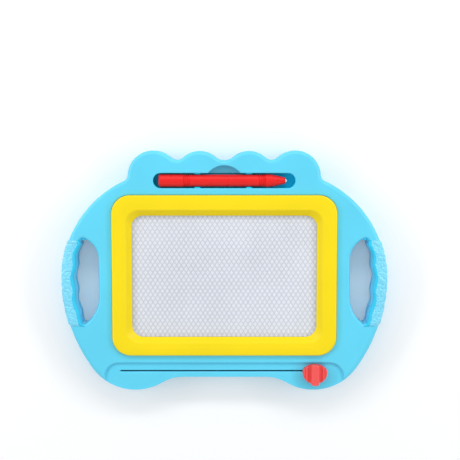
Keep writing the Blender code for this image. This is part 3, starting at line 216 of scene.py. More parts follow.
RIDGE_END_ROUND = 0.0014
GROOVE_LEAN_SHARE = 0.45
# A groove is (near side, far side, depth), measured from the knob's middle
WIDE_GROOVE = (0.00315, 0.00595, 0.0014)
NARROW_GROOVE = (0.0074, 0.0083, 0.0006)
STEM_HALF_LENGTH = 0.0030
STEM_HALF_WIDTH = 0.0005
SLOT_RIGHT_X = KNOB_X + STEM_HALF_LENGTH + SEAT_GAP

# Pen
CAP_RADIUS = (CAP_HIGH.z - CAP_LOW.z) / 2
CAP_LENGTH = 0.0198
CAP_ROUND = 0.0012
BARREL_RADIUS = 0.0047
RING_PITCH = 0.0016
RING_DEPTH = 0.0005
RING_WIDTH_SHARE = 0.42
RINGS_AN_END = 3
RING_STEPS = 8
NOSE_RADIUS = (NOSE_HIGH.z - NOSE_LOW.z) / 2
NOSE_LENGTH = 0.0159
NOSE_STRAIGHT = 0.0022
NOSE_SWELL_SHARE = 0.55
NOSE_TIP_RADIUS = 0.0023
PEN_JOINT_GAP = 0.00012
PEN_JOINT_ROUND = 0.00022
PEN_SIDES = 64

# Screws
SCREW_SIDES = 32
SCREW_HEAD_HEIGHT = 0.0018
SCREW_SHANK_RADIUS = 0.0013
SCREW_POINT = 0.0012
SCREW_CROWN_SHARES = ((0.0, 0.55), (0.12, 0.80), (0.34, 0.97), (0.75, 1.0))
SCREW_TURN = math.radians(37)
CROSS_HALF_LENGTH = 0.0015
CROSS_HALF_WIDTH = 0.0004
CROSS_DEPTH = 0.0009
HEAD_SEAT_HEIGHT = 0.0045
REAR_BOSS_HEIGHT = 0.0080
BOSS_WALL = 0.0012
SCREWS = 8

# Finishes: (name, colour, roughness, scale of the grain, strength of the grain, drift)
FINISHES = {
    "blue": ("moulded_blue", (0.115, 0.672, 0.922), 0.20, 900.0, 0.04, 0.03),
    # tray: the housing's blue made deeper and more saturated, as painted shade inside the pen's tray
    "tray": ("tray_painted_shade_blue", (0.004, 0.680, 0.960), 0.30, 900.0, 0.05, 0.03),
    # grip: the housing's blue made paler, as a painted sheen for the glints on the pebbles
    "grip": ("pebbled_blue_painted_sheen", (0.190, 0.710, 0.950), 0.16, 1600.0, 0.08, 0.07),
    # grip_rim_shade: the housing's blue made deeper, as painted shade on the grip's wall and rim beside
    # the opening
    "grip_rim_shade": ("rim_painted_shade_blue", (0.030, 0.600, 0.900), 0.24, 900.0, 0.05, 0.04),
    "rear_blue": ("moulded_rear_blue", (0.100, 0.610, 0.870), 0.38, 1400.0, 0.12, 0.03),
    "yellow": ("moulded_yellow", (0.956, 0.738, 0.008), 0.22, 900.0, 0.04, 0.02),
    "wall": ("cell_wall", (0.620, 0.645, 0.715), 0.42, 2500.0, 0.08, 0.05),
    "fill": ("cell_fill", (0.840, 0.870, 0.940), 0.50, 1800.0, 0.10, 0.03),
    "film": ("clear_film", (0.880, 0.900, 0.950), 0.16, 700.0, 0.04, 0.02),
    "back_film": ("back_film", (0.780, 0.780, 0.780), 0.40, 700.0, 0.05, 0.05),
    "seal": ("seal_bead", (0.820, 0.820, 0.800), 0.55, 1200.0, 0.20, 0.05),
    "pen_red": ("pen_plastic", (0.855, 0.018, 0.018), 0.30, 1100.0, 0.05, 0.04),
    "knob_red": ("knob_plastic", (0.900, 0.090, 0.085), 0.34, 1400.0, 0.10, 0.04),
    "carrier": ("carrier_moulding", (0.800, 0.800, 0.790), 0.42, 1200.0, 0.10, 0.05),
    "ferrite": ("magnet_rubber", (0.055, 0.052, 0.050), 0.65, 1800.0, 0.30, 0.05),
    "steel": ("bright_plating", (0.720, 0.720, 0.710), 0.22, 2200.0, 0.10, 0.04),
    "zinc": ("zinc_plating", (0.560, 0.560, 0.550), 0.34, 2400.0, 0.20, 0.06),
}
METALS = ("steel", "zinc")
PLAIN_SHINE = 0.5
SHINES = {
    "blue": 0.4, "tray": 0.1, "grip": 0.6, "grip_rim_shade": 0.3, "yellow": 0.2, "fill": 0.3, "pen_red": 0.2,
}
FILM_ALPHA = 0.12
DRIFT_NOISE = (28.0, 3.0)
GLOSS_NOISE = (90.0, 5.0)
GLOSS_SHIFT = 0.15
GRAIN_DETAIL = 4.0
GRAIN_HEIGHT = 0.0002
NOISE_LOW = 0.3
NOISE_HIGH = 0.7

# Stage and lamps: (place, width, height, watts)
FLOOR_HALF_SIZE = 3.0
FLOOR_DROP = 0.0001
FLOOR_COLOR = (0.900, 0.910, 0.925, 1.0)
FLOOR_ROUGHNESS = 0.85
FLOOR_SHINE = 0.2
WHITE = (1.0, 1.0, 1.0, 1.0)
SKY_LEVEL = 0.52
FLOOR_GLOW = 0.10
LAMPS = {
    "top_strip": ((0.0, 1.05, 0.78), 1.90, 0.20, 7.2),
    "bottom_strip": ((0.0, -1.05, 0.78), 1.90, 0.20, 1.6),
    "left_strip": ((-1.0, 0.20, 0.64), 1.20, 0.18, 4.2),
    "right_strip": ((1.0, 0.20, 0.64), 1.20, 0.18, 4.2),
}

# Camera, as the photograph was taken
CAMERA_PLACE = (0.00453, 0.09514, 0.7670)
CAMERA_AIM = (0.00453, 0.03334, 0.0200)
CAMERA_LENS = 74.2
CAMERA_SENSOR = 36.0
CAMERA_NEAR = 0.01


# Meshes

def link(name, data):
    thing = bpy.data.objects.new(name, data)
    bpy.context.scene.collection.objects.link(thing)
    return thing


def finished(name, bm):
    bmesh.ops.remove_doubles(bm, verts=bm.verts, dist=WELD_DISTANCE)
    bmesh.ops.recalc_face_normals(bm, faces=bm.faces)
    mesh = bpy.data.meshes.new(name)
    bm.to_mesh(mesh)
    bm.free()
    return link(name, mesh)


def bake(thing):
    """Applies a piece's modifiers to its mesh."""
    bpy.context.view_layer.update()
    seen = thing.evaluated_get(bpy.context.evaluated_depsgraph_get())
    mesh = bpy.data.meshes.new_from_object(seen)
    thing.modifiers.clear()
    old = thing.data
    thing.data = mesh
    bpy.data.meshes.remove(old)
    return thing


def combine(thing, tool, operation):
    modifier = thing.modifiers.new("combine", "BOOLEAN")
    modifier.operation = operation
    modifier.solver = "EXACT"
    modifier.object = tool
    bake(thing)
    bpy.data.objects.remove(tool, do_unlink=True)
    return thing


def cut(thing, tool):
    return combine(thing, tool, "DIFFERENCE")


def soften(thing):
    """Smooth shading that keeps flat faces flat and sharp edges sharp."""
    thing.data.shade_smooth()
    thing.data.set_sharp_from_angle(angle=SMOOTH_ANGLE)
    weights = thing.modifiers.new("weights", "WEIGHTED_NORMAL")
    weights.keep_sharp = True
    weights.weight = FLAT_FACE_WEIGHT
    return bake(thing)


def add_rings(bm, rings, around=False, caps=(0, -1)):
    """Skins rings of as many points each. Around joins the last ring to the first, and
    without it the rings in caps are closed."""
    loops = [[bm.verts.new(point) for point in ring] for ring in rings]
    count = len(loops[0])
    pairs = list(zip(loops, loops[1:]))
    if around:
        pairs.append((loops[-1], loops[0]))
    for low, high in pairs:
        for i in range(count):
            j = (i + 1) % count
            bm.faces.new((low[i], low[j], high[j], high[i]))
    if not around:
        for end in caps:
            bm.faces.new(loops[end])


def lofted(name, rings, around=False):
    bm = bmesh.new()
    add_rings(bm, rings, around)
    return finished(name, bm)


def add_box(bm, low, high):
    size = Vector(high) - Vector(low)
    middle = (Vector(high) + Vector(low)) / 2
    place = Matrix.Translation(middle) @ Matrix.Diagonal((*size, 1.0))
    bmesh.ops.create_cube(bm, size=1.0, matrix=place)


def boxed(name, low, high, round_by=0.0):
    bm = bmesh.new()
    add_box(bm, low, high)
    if round_by:
        rounding = {"segments": BEVEL_STEPS, "profile": BEVEL_PROFILE, "affect": "EDGES"}
        bmesh.ops.bevel(bm, geom=bm.edges, offset=round_by, **rounding)
    return finished(name, bm)


def level(points, height):
    return [(x, y, height) for x, y in points]


def stacked(name, outline, sections, around=False):
    """Skins an outline at each (distance, height), moved inwards or outwards by the distance."""
    return lofted(name, [level(outline(distance), height) for distance, height in sections], around)


# Outlines

def direction(angle):
    return Vector((math.cos(angle), math.sin(angle)))


def heading(from_point, to_point):
    gap = to_point - from_point
    return math.atan2(gap.y, gap.x)


def arc(centre, radius, start, end):
    step = 2 * math.acos(1 - min(1.0, ARC_TOLERANCE / radius))
    count = max(LEAST_ARC_STEPS, math.ceil(abs(end - start) / step))
    return [centre + radius * direction(start + (end - start) * i / count) for i in range(count + 1)]


def fillet_centre(first, first_radius, second, second_radius, fillet):
    """Centre of the fillet that touches two round lobes from outside."""
    gap = second - first
    span = gap.length
    near = first_radius + fillet
    far = second_radius + fillet
    along = (near * near - far * far + span * span) / (2 * span)
    across = math.sqrt(near * near - along * along)
    forward = gap / span
    return first + forward * along + Vector((-forward.y, forward.x)) * across


def unwound(angle, below):
    while angle > below:
        angle -= FULL_TURN
    return angle


def outline_arcs():
    """Right half of the outline, clockwise from the top middle: (centre, radius, start,
    end, bulge), where bulge is 1 on a lobe and -1 on a hollow."""
    inner = Vector((INNER_LOBE_X, INNER_LOBE_TOP - INNER_LOBE_RADIUS))
    outer = Vector((OUTER_LOBE_X, BODY_TOP - OUTER_LOBE_RADIUS))
    shoulder = Vector((BODY_HALF_WIDTH - SHOULDER_RADIUS, SIDE_MIDDLE_Y))
    lower = Vector((BODY_HALF_WIDTH - LOWER_SIDE_RADIUS, SIDE_MIDDLE_Y))
    reach = INNER_LOBE_RADIUS + MIDDLE_VALLEY_RADIUS
    middle = Vector((0.0, inner.y + math.sqrt(reach * reach - inner.x * inner.x)))
    valley = fillet_centre(inner, INNER_LOBE_RADIUS, outer, OUTER_LOBE_RADIUS, LOBE_VALLEY_RADIUS)
    notch = fillet_centre(outer, OUTER_LOBE_RADIUS, shoulder, SHOULDER_RADIUS, SHOULDER_NOTCH_RADIUS)
    sideways = BOTTOM_LOBE_X - lower.x
    drop = BODY_BOTTOM - SIDE_MIDDLE_Y
    lobe_radius = (LOWER_SIDE_RADIUS**2 - sideways**2 - drop**2) / (2 * (LOWER_SIDE_RADIUS + drop))
    lobe = Vector((BOTTOM_LOBE_X, BODY_BOTTOM + lobe_radius))
    fillet_y = BOTTOM_MIDDLE_Y - BOTTOM_FILLET_RADIUS
    reach = lobe_radius + BOTTOM_FILLET_RADIUS
    fillet = Vector((lobe.x - math.sqrt(reach**2 - (lobe.y - fillet_y) ** 2), fillet_y))
    return [
        (middle, MIDDLE_VALLEY_RADIUS, -RIGHT_ANGLE, heading(middle, inner), -1),
        (inner, INNER_LOBE_RADIUS, heading(inner, middle), heading(inner, valley), 1),
        (valley, LOBE_VALLEY_RADIUS, heading(valley, inner), heading(valley, outer), -1),
        (outer, OUTER_LOBE_RADIUS, heading(outer, valley), heading(outer, notch), 1),
        (notch, SHOULDER_NOTCH_RADIUS, heading(notch, outer), heading(notch, shoulder), -1),
        (shoulder, SHOULDER_RADIUS, heading(shoulder, notch), 0.0, 1),
        (lower, LOWER_SIDE_RADIUS, 0.0, heading(lower, lobe), 1),
        (lobe, lobe_radius, heading(lower, lobe), heading(lobe, fillet), 1),
        (fillet, BOTTOM_FILLET_RADIUS, heading(fillet, lobe), RIGHT_ANGLE, -1),
    ]


def body_outline(inset):
    """The housing's outline, moved inwards by inset."""
    half = []
    for centre, radius, start, end, bulge in outline_arcs():
        end = unwound(end, start) if bulge > 0 else -unwound(-end, -start)
        count = len(arc(centre, radius, start, end)) - 1
        moved = radius - bulge * inset
        for i in range(1 if half else 0, count + 1):
            half.append(centre + moved * direction(start + (end - start) * i / count))
    other = [Vector((-point.x, point.y)) for point in reversed(half[1:])]
    return [(point.x, point.y) for point in reversed(half + other)]


def side_x(y):
    """Where the housing's right side lies at a height y on the picture."""
    radius = SHOULDER_RADIUS if y > SIDE_MIDDLE_Y else LOWER_SIDE_RADIUS
    return BODY_HALF_WIDTH - radius + math.sqrt(radius**2 - (y - SIDE_MIDDLE_Y) ** 2)


def grip_edge():
    """Scalloped inner edge of the right grip, from top to bottom."""
    length = GRIP_EDGE_TOP_Y - GRIP_EDGE_BOTTOM_Y
    count = math.ceil(length / GRIP_SCALLOP_PITCH * GRIP_SCALLOP_STEPS)
    points = []
    for i in range(count + 1):
        y = GRIP_EDGE_TOP_Y - length * i / count
        wave = math.cos(math.pi * (y - GRIP_SCALLOP_CREST_Y) / GRIP_SCALLOP_PITCH)
        points.append(Vector((side_x(y) - GRIP_NARROW_WIDTH - GRIP_SCALLOP_HEIGHT * wave**2, y)))
    return points


def handle_outline():
    """The right handle opening, clockwise from the foot of its straight inner side."""
    upper = Vector((HANDLE_INNER_X + HANDLE_UPPER_RADIUS, HANDLE_UPPER_Y))
    reach = HANDLE_UPPER_RADIUS - HANDLE_UPPER_TIP_RADIUS
    upper_tip = upper + reach * direction(HANDLE_UPPER_ANGLE)
    lower = Vector((HANDLE_INNER_X + HANDLE_LOWER_RADIUS, HANDLE_LOWER_Y))
    reach = HANDLE_LOWER_RADIUS - HANDLE_LOWER_TIP_RADIUS
    lower_tip = lower + reach * direction(HANDLE_LOWER_ANGLE)
    points = arc(upper, HANDLE_UPPER_RADIUS, math.pi, HANDLE_UPPER_ANGLE)
    points += arc(upper_tip, HANDLE_UPPER_TIP_RADIUS, HANDLE_UPPER_ANGLE, 0.0)[1:]
    points += grip_edge()
    points += arc(lower_tip, HANDLE_LOWER_TIP_RADIUS, 0.0, HANDLE_LOWER_ANGLE - FULL_TURN)
    points += arc(lower, HANDLE_LOWER_RADIUS, HANDLE_LOWER_ANGLE, math.pi)[1:]
    return points


def grown(points, distance):
    """A clockwise outline moved outwards along its own normals."""
    result = []
    count = len(points)
    for i, point in enumerate(points):
        along = (points[(i + 1) % count] - points[i - 1]).normalized()
        result.append(point + Vector((-along.y, along.x)) * distance)
    return result


def bend(centre, radius, start, turn, steps):
    """(x, y) points round a centre."""
    points = [centre + radius * direction(start + turn * i / steps) for i in range(steps + 1)]
    return [(point.x, point.y) for point in points]


def rounded_rectangle(middle_y, width, height, radius, steps):
    points = []
    for corner, (right, up) in enumerate(((1, 1), (-1, 1), (-1, -1), (1, -1))):
        centre = Vector((right * (width / 2 - radius), middle_y + up * (height / 2 - radius)))
        points += bend(centre, radius, RIGHT_ANGLE * corner, RIGHT_ANGLE, steps)
    return points


def stadium(y, half_length, radius):
    points = []
    for side in (1, -1):
        centre = Vector((side * (half_length - radius), y))
        points += bend(centre, radius, -side * RIGHT_ANGLE, math.pi, ROUND_STEPS)
    return points


def quarter_round(radius):
    """(inset, drop) pairs round an edge, from its side to its flat."""
    angles = [RIGHT_ANGLE * i / EDGE_STEPS for i in range(EDGE_STEPS + 1)]
    return [(radius * (1 - math.cos(angle)), radius * (1 - math.sin(angle))) for angle in angles]


def round_over(radius, top, inset=0.0):
    """(inset, height) pairs round an upper edge, from its side to its top."""
    return [(inset + shrink, top - drop) for shrink, drop in quarter_round(radius)]


def round_under(radius, bottom, inset=0.0):
    """(inset, height) pairs round a lower edge, from its bottom to its side."""
    return [(inset + shrink, bottom + drop) for shrink, drop in reversed(quarter_round(radius))]


# Shells

def housing_block(name, low, high, low_radius, high_radius, inset=0.0):
    """The housing's outline between two heights. A radius rounds the edge there."""
    sections = round_under(low_radius, low, inset) if low_radius else [(inset, low)]
    sections += round_over(high_radius, high, inset) if high_radius else [(inset, high)]
    return stacked(name, body_outline, sections)


def handle_cutter(name, sections):
    """Both handle openings. Each section is (growth, height)."""
    bm = bmesh.new()
    for side in (1, -1):
        rings = []
        for growth, height in sections:
            points = grown(handle_outline(), growth)
            rings.append([(side * point.x, point.y, height) for point in points])
        add_rings(bm, rings)
    return finished(name, bm)


def front_handle_sections(lift):
    """A straight wall under a rounded rim. Lift raises the rim to the grip's top."""
    top = BOARD_THICKNESS + lift
    sections = [(0.0, -OVERRUN)] + round_over(HANDLE_RIM_RADIUS, top)
    return sections + [(HANDLE_RIM_RADIUS, top + OVERRUN)]


def grip_zone(name, sides, low, high, margin):
    """The space of the grips beside the openings, grown by a margin."""
    bm = bmesh.new()
    bottom = GRIP_PAD_BOTTOM_Y - margin
    top = GRIP_PAD_TOP_Y + margin
    for side in sides:
        near = side * (GRIP_PAD_INNER_X - margin)
        far = side * (BODY_HALF_WIDTH + OVERRUN)
        add_box(bm, (min(near, far), bottom, low), (max(near, far), top, high))
    return finished(name, bm)


def sunk_cutter(name, outline, floor, rim, floor_round=0.0):
    """A pocket cutter that flares at the face and is rounded at its floor."""
    sections = [(0.0, floor)]
    if floor_round:
        sections = [(-shrink, height) for shrink, height in round_under(floor_round, floor)]
    sections += round_over(rim, BOARD_THICKNESS)
    sections.append((rim, BOARD_THICKNESS + OVERRUN))
    return stacked(name, outline, sections)


def tray_points(growth):
    return stadium(TRAY_Y, TRAY_HALF_LENGTH + growth, TRAY_RADIUS + growth)


def notch_points(growth):
    radius = NOTCH_RADIUS + growth
    centre = Vector((0.0, NOTCH_TOP_Y - NOTCH_RADIUS))
    lift = math.asin((TRAY_Y - centre.y) / radius)
    return bend(centre, radius, lift, math.pi - 2 * lift, ROUND_STEPS)


def recess_points(growth):
    radius = RECESS_CORNER_RADIUS + growth
    corner = Vector((RECESS_HALF_WIDTH + growth - radius, RECESS_TOP_Y + growth - radius))
    bottom = BODY_BOTTOM - OVERRUN
    right = bend(corner, radius, 0.0, RIGHT_ANGLE, CORNER_STEPS)
    left = [(-x, y) for x, y in reversed(right)]
    return [(right[0][0], bottom)] + right + left + [(left[-1][0], bottom)]


def walled(name, outline, floor):
    """A pocket's outline grown by the wall, from under its floor to above the face."""
    return stacked(name, outline, [(WALL, floor - WALL), (WALL, BOARD_THICKNESS + OVERRUN)])


def front_hollow():
    """The inside of the front shell, less the walls that stand in it."""
    under = BOARD_THICKNESS - WALL
    hollow = housing_block("hollow", -OVERRUN, under, 0.0, FACE_EDGE_RADIUS - WALL, WALL)
    cut(hollow, handle_cutter("walls", [(WALL, -2 * OVERRUN), (WALL, BOARD_THICKNESS + OVERRUN)]))
    cut(hollow, walled("walls", tray_points, BOARD_THICKNESS - TRAY_DEPTH))
    cut(hollow, walled("walls", notch_points, BOARD_THICKNESS - NOTCH_DEPTH))
    cut(hollow, walled("walls", recess_points, RECESS_FLOOR))
    return hollow


def tray_cutter():
    """The pen's tray, less the four nubs that hold the pen."""
    floor = BOARD_THICKNESS - TRAY_DEPTH
    tray = sunk_cutter("tray", tray_points, floor, TRAY_RIM, TRAY_FLOOR_ROUND)
    for x in NUB_PLACES:
        for side in (1, -1):
            near = TRAY_Y + side * NUB_REACH
            far = TRAY_Y + side * (TRAY_RADIUS + WALL)
            low = (x - NUB_HALF_WIDTH, min(near, far), floor - WALL)
            high = (x + NUB_HALF_WIDTH, max(near, far), BOARD_THICKNESS - NUB_DROP)
            cut(tray, boxed("nub", low, high, NUB_ROUND))
    return tray


def slot_points(upper, lower):
    """The slot, grown by one length at its top edge and ends and another at its lower edge."""
    left = SLOT_LEFT_X - upper
    right = SLOT_RIGHT_X + upper
    low = SLOT_Y - SLOT_HALF_WIDTH - lower
    high = SLOT_Y + SLOT_HALF_WIDTH + upper
    return [(left, low), (right, low), (right, high), (left, high)]


def slot_cutter():
    """The slot, with a fine rim along its top edge and a wide lip along its lower one."""
    low = RECESS_FLOOR - WALL - OVERRUN
    rings = [level(slot_points(0.0, 0.0), height) for height in (low, RECESS_FLOOR - SLOT_LIP_DEPTH)]
    for share, drop_share in quarter_round(1.0)[1:]:
        points = slot_points(SLOT_RIM * share, SLOT_LIP_WIDTH * share)
        rings.append(level(points, RECESS_FLOOR - SLOT_LIP_DEPTH * drop_share))
    rings.append(level(slot_points(SLOT_RIM, SLOT_LIP_WIDTH), RECESS_FLOOR + OVERRUN))
    return lofted("slot", rings)


def window_cutter():
    inset = BEZEL_BAND - BEZEL_LIP_WALL - SEAT_GAP
    low = BOARD_THICKNESS - 2 * WALL
    return stacked("window", bezel_ring, [(inset, low), (inset, BOARD_THICKNESS + OVERRUN)])


def channel_cutter():
    """The channel in the face round the bezel's foot."""
    low = BOARD_THICKNESS - CHANNEL_DEPTH
    high = BOARD_THICKNESS + OVERRUN
    sections = [(-CHANNEL_MARGIN, low), (-CHANNEL_MARGIN, high)]
    sections += [(CHANNEL_WIDTH, high), (CHANNEL_WIDTH, low)]
    return stacked("channel", bezel_ring, sections, around=True)


def front_shell():
    high = BOARD_THICKNESS + GRIP_RAISE + OVERRUN
    shell = housing_block("front_shell", -OVERRUN, BOARD_THICKNESS, 0.0, FACE_EDGE_RADIUS)
    cut(shell, front_hollow())
    cut(shell, handle_cutter("handles", front_handle_sections(0.0)))
    cut(shell, grip_zone("zone", (1, -1), -2 * OVERRUN, high, -GRIP_END_RUN))
    cut(shell, tray_cutter())
    cut(shell, sunk_cutter("notch", notch_points, BOARD_THICKNESS - NOTCH_DEPTH, TRAY_RIM))
    cut(shell, sunk_cutter("recess", recess_points, RECESS_FLOOR, RECESS_RIM))
    cut(shell, slot_cutter())
    cut(shell, window_cutter())
    cut(shell, channel_cutter())
    reach = BODY_HALF_WIDTH + OVERRUN
    low = (-reach, BODY_BOTTOM - OVERRUN, -3 * OVERRUN)
    return cut(shell, boxed("part_line", low, (reach, BODY_TOP + OVERRUN, FRONT_BOTTOM)))


# Grips

def eased(value, start, full):
    """Rises smoothly from 0 at start to 1 at full."""
    share = min(1.0, max(0.0, (value - start) / (full - start)))
    return share * share * (3 - 2 * share)


def pebble_places():
    """Gives each cell of a grid its pebble, moved a little at random, when asked."""
    rng = random.Random(PEBBLE_SEED)
    cells = {}

    def place(cell):
        if cell not in cells:
            jitter = [rng.uniform(-PEBBLE_JITTER_SHARE, PEBBLE_JITTER_SHARE) for _ in range(3)]
            size = rng.uniform(PEBBLE_LEAST_SIZE_SHARE, 1.0)
            middle = [(c + 0.5 + j) * PEBBLE_PITCH for c, j in zip(cell, jitter)]
            cells[cell] = (Vector(middle), size)
        return cells[cell]

    return place


def pebble_lift(point, place):
    """How far the pebbled skin stands out at a point, from 0 to 1."""
    home = [math.floor(c / PEBBLE_PITCH) for c in point]
    best = 0.0
    for dx in (-1, 0, 1):
        for dy in (-1, 0, 1):
            for dz in (-1, 0, 1):
                centre, size = place((home[0] + dx, home[1] + dy, home[2] + dz))
                gap = (point - centre).length / (PEBBLE_PITCH * PEBBLE_SPAN_SHARE * size)
                if gap < 1.0:
                    best = max(best, size * math.sqrt(1 - gap * gap))
    return best


def opening_tree(side):
    """A search tree of the points along one handle opening."""
    points = handle_outline()
    tree = KDTree(len(points))
    for i, point in enumerate(points):
        tree.insert((side * point.x, point.y, 0.0), i)
    tree.balance()
    return tree


def pad_share(point, side):
    """1 on the grip, falling to 0 past its ends, where it sinks into the housing."""
    top = eased(GRIP_PAD_TOP_Y + GRIP_END_RUN - point.y, 0.0, 2 * GRIP_END_RUN)
    bottom = eased(point.y - GRIP_PAD_BOTTOM_Y + GRIP_END_RUN, 0.0, 2 * GRIP_END_RUN)
    inner = eased(side * point.x - GRIP_PAD_INNER_X + GRIP_END_RUN, 0.0, 2 * GRIP_END_RUN)
    return min(top, bottom, inner)


def shape_skin(bar, side, place):
    """Sinks the bar's ends into the housing, and raises pebbles over its outer skin."""
    tree = opening_tree(side)
    bm = bmesh.new()
    bm.from_mesh(bar.data)
    axes = {"use_axis_x": True, "use_axis_y": True, "use_axis_z": True}
    for _ in range(SKIN_SMOOTH_ROUNDS):
        bmesh.ops.smooth_vert(bm, verts=bm.verts, factor=SKIN_SMOOTH_SHARE, **axes)
    bm.normal_update()
    moves = []
    for vert in bm.verts:
        spread_share = pad_share(vert.co, side)
        _, _, gap = tree.find((vert.co.x, vert.co.y, 0.0))
        foot = eased(vert.co.z, FRONT_BOTTOM, FRONT_BOTTOM + GRIP_FOOT_RUN)
        rough = spread_share * foot * eased(gap, PEBBLE_START, PEBBLE_FULL)
        dent = 0.0
        if rough > 0:
            dent = PEBBLE_HEIGHT * rough * (1 - pebble_lift(vert.co, place))
        moves.append(vert.normal * -(dent + GRIP_SINK * (1 - spread_share)))
    for vert, move in zip(bm.verts, moves):
        vert.co += move
        vert.co.z = max(vert.co.z, FRONT_BOTTOM)
    bm.to_mesh(bar.data)
    bm.free()


def grip(side_name, side, place):
    """A pebbled grip: the proud bar beside a handle opening."""
    top = BOARD_THICKNESS + GRIP_RAISE
    low = FRONT_BOTTOM
    bar = housing_block("grip_" + side_name, low, top, 0.0, FACE_EDGE_RADIUS, -GRIP_PROUD)
    zone = grip_zone("zone", (side,), low - OVERRUN, top + OVERRUN, GRIP_END_RUN)
    combine(bar, zone, "INTERSECT")
    cut(bar, handle_cutter("handles", front_handle_sections(GRIP_RAISE)))
    remesh = bar.modifiers.new("remesh", "REMESH")
    remesh.mode = "VOXEL"
    remesh.voxel_size = GRIP_VOXEL
    bake(bar)
    shape_skin(bar, side, place)
    bar.data.shade_smooth()
    return bar


# Rear shell

def rear_shell():
    high = PART_LINE_HEIGHT + OVERRUN
    shell = housing_block("rear_shell", 0.0, high, BACK_EDGE_RADIUS, 0.0)
    proud = housing_block("grips", 0.0, high, BACK_EDGE_RADIUS, 0.0, -GRIP_PROUD)
    combine(proud, grip_zone("zone", (1, -1), -OVERRUN, high + OVERRUN, 0.0), "INTERSECT")
    combine(shell, proud, "UNION")
    hollow = housing_block("hollow", WALL, high + OVERRUN, 0.0, 0.0, WALL)
    cut(hollow, handle_cutter("walls", [(WALL, -OVERRUN), (WALL, high + 2 * OVERRUN)]))
    cut(shell, hollow)
    reach = BODY_HALF_WIDTH + OVERRUN
    low = (-reach, BODY_BOTTOM - OVERRUN, REAR_TOP)
    cut(shell, boxed("part_line", low, (reach, BODY_TOP + OVERRUN, high + OVERRUN)))
    for x, y, radius in screw_wells():
        combine(shell, tube("boss", x, y, radius + BOSS_WALL, WALL / 2, REAR_BOSS_HEIGHT), "UNION")
    rims = [(HANDLE_RIM_RADIUS, -OVERRUN)] + round_under(HANDLE_RIM_RADIUS, 0.0)
    cut(shell, handle_cutter("handles", rims + [(0.0, high)]))
    for x, y, radius in screw_wells():
        cut(shell, tube("well", x, y, radius, -OVERRUN, HEAD_SEAT_HEIGHT))
    return shell


def screw_wells():
    """(x, y, well radius) of each screw."""
    wells = []
    for number in range(1, SCREWS + 1):
        low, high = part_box(f"housing_screw_{number}")
        middle = (low + high) / 2
        wells.append((middle.x, middle.y, (high.x - low.x) / 2 + SEAT_GAP))
    return wells


def circle(x, y, radius, height):
    points = [radius * direction(FULL_TURN * i / SCREW_SIDES) for i in range(SCREW_SIDES)]
    return [(x + point.x, y + point.y, height) for point in points]


def tube(name, x, y, radius, low, high):
    return lofted(name, [circle(x, y, radius, height) for height in (low, high)])


# Bezel

def bezel_ring(inset):
    """The bezel's outer edge moved inwards. Its corners grow to the window's radius."""
    share = inset / BEZEL_BAND
    radius = BEZEL_CORNER_RADIUS + (WINDOW_CORNER_RADIUS - BEZEL_CORNER_RADIUS) * share
    top = FRAME_HIGH.y - BEZEL_TOP_BAND * share
    bottom = FRAME_LOW.y + BEZEL_LOW_BAND * share
    width = BEZEL_WIDTH - 2 * inset
    return rounded_rectangle((top + bottom) / 2, width, top - bottom, radius, CORNER_STEPS)


def bezel_turn(start, turn, end):
    """A soft turn from the band into the slope, as (inset, height) pairs."""
    points = []
    for i in range(BEZEL_TURN_STEPS + 1):
        share = i / BEZEL_TURN_STEPS
        point = start * (1 - share) ** 2 + turn * 2 * share * (1 - share) + end * share**2
        points.append((point.x, point.y))
    return points


def bezel_sections():
    """(inset, height) round the bezel's section, from its outer foot over the top."""
    skirt = BOARD_THICKNESS - BEZEL_SKIRT
    foot = BOARD_THICKNESS + SEAT_GAP
    shoulder = FRAME_HIGH.z - BEZEL_CROWN
    slope_start = BEZEL_BAND - BEZEL_SLOPE_WIDTH
    lip = BEZEL_BAND - BEZEL_LIP_WALL
    lip_bottom = FILM_HIGH.z + SEAT_GAP
    skirt_width = CHANNEL_WIDTH - SEAT_GAP
    sections = [(skirt_width, foot), (skirt_width, skirt), (0.0, skirt)]
    sections += round_over(BEZEL_EDGE_RADIUS, shoulder)
    flat = slope_start - 2 * BEZEL_CROWN
    for i in range(1, BEZEL_CROWN_STEPS):
        share = i / BEZEL_CROWN_STEPS
        inset = BEZEL_EDGE_RADIUS + (flat - BEZEL_EDGE_RADIUS) * share
        sections.append((inset, shoulder + BEZEL_CROWN * math.sin(math.pi * share)))
    turn = Vector((slope_start, shoulder))
    foot_of_slope = Vector((BEZEL_BAND, lip_bottom + BEZEL_CROWN))
    down = (foot_of_slope - turn).normalized()
    sections += bezel_turn(Vector((flat, shoulder)), turn, turn + down * BEZEL_TURN_RUN)
    sections.append((foot_of_slope.x, foot_of_slope.y))
    return sections + [(BEZEL_BAND, lip_bottom), (lip, lip_bottom), (lip, foot)]


def bezel():
    return stacked("bezel", bezel_ring, bezel_sections(), around=True)


# Honeycomb

def hexagon(x, y, share, height):
    """A cell's outline at a share of its size, with its corners up and down."""
    half = CELL_PITCH / 2 * share
    side = CELL_ROW_PITCH * CELL_SIDE_SHARE / 2 * share
    tall = (CELL_ROW_PITCH - CELL_ROW_PITCH * CELL_SIDE_SHARE / 2) * share
    corners = ((0, tall), (-half, side), (-half, -side), (0, -tall), (half, -side), (half, side))
    return [(x + dx, y + dy, height) for dx, dy in corners]


def add_cell(bm, x, y, top):
    """Half the wall's top, the sloping side and the fill of one cell."""
    wall = 1 - CELL_WALL_SHARE
    shares = ((1.0, top), (wall, top), (wall - CELL_SLOPE_SHARE, top - CELL_DROP))
    add_rings(bm, [hexagon(x, y, share, height) for share, height in shares], caps=(-1,))


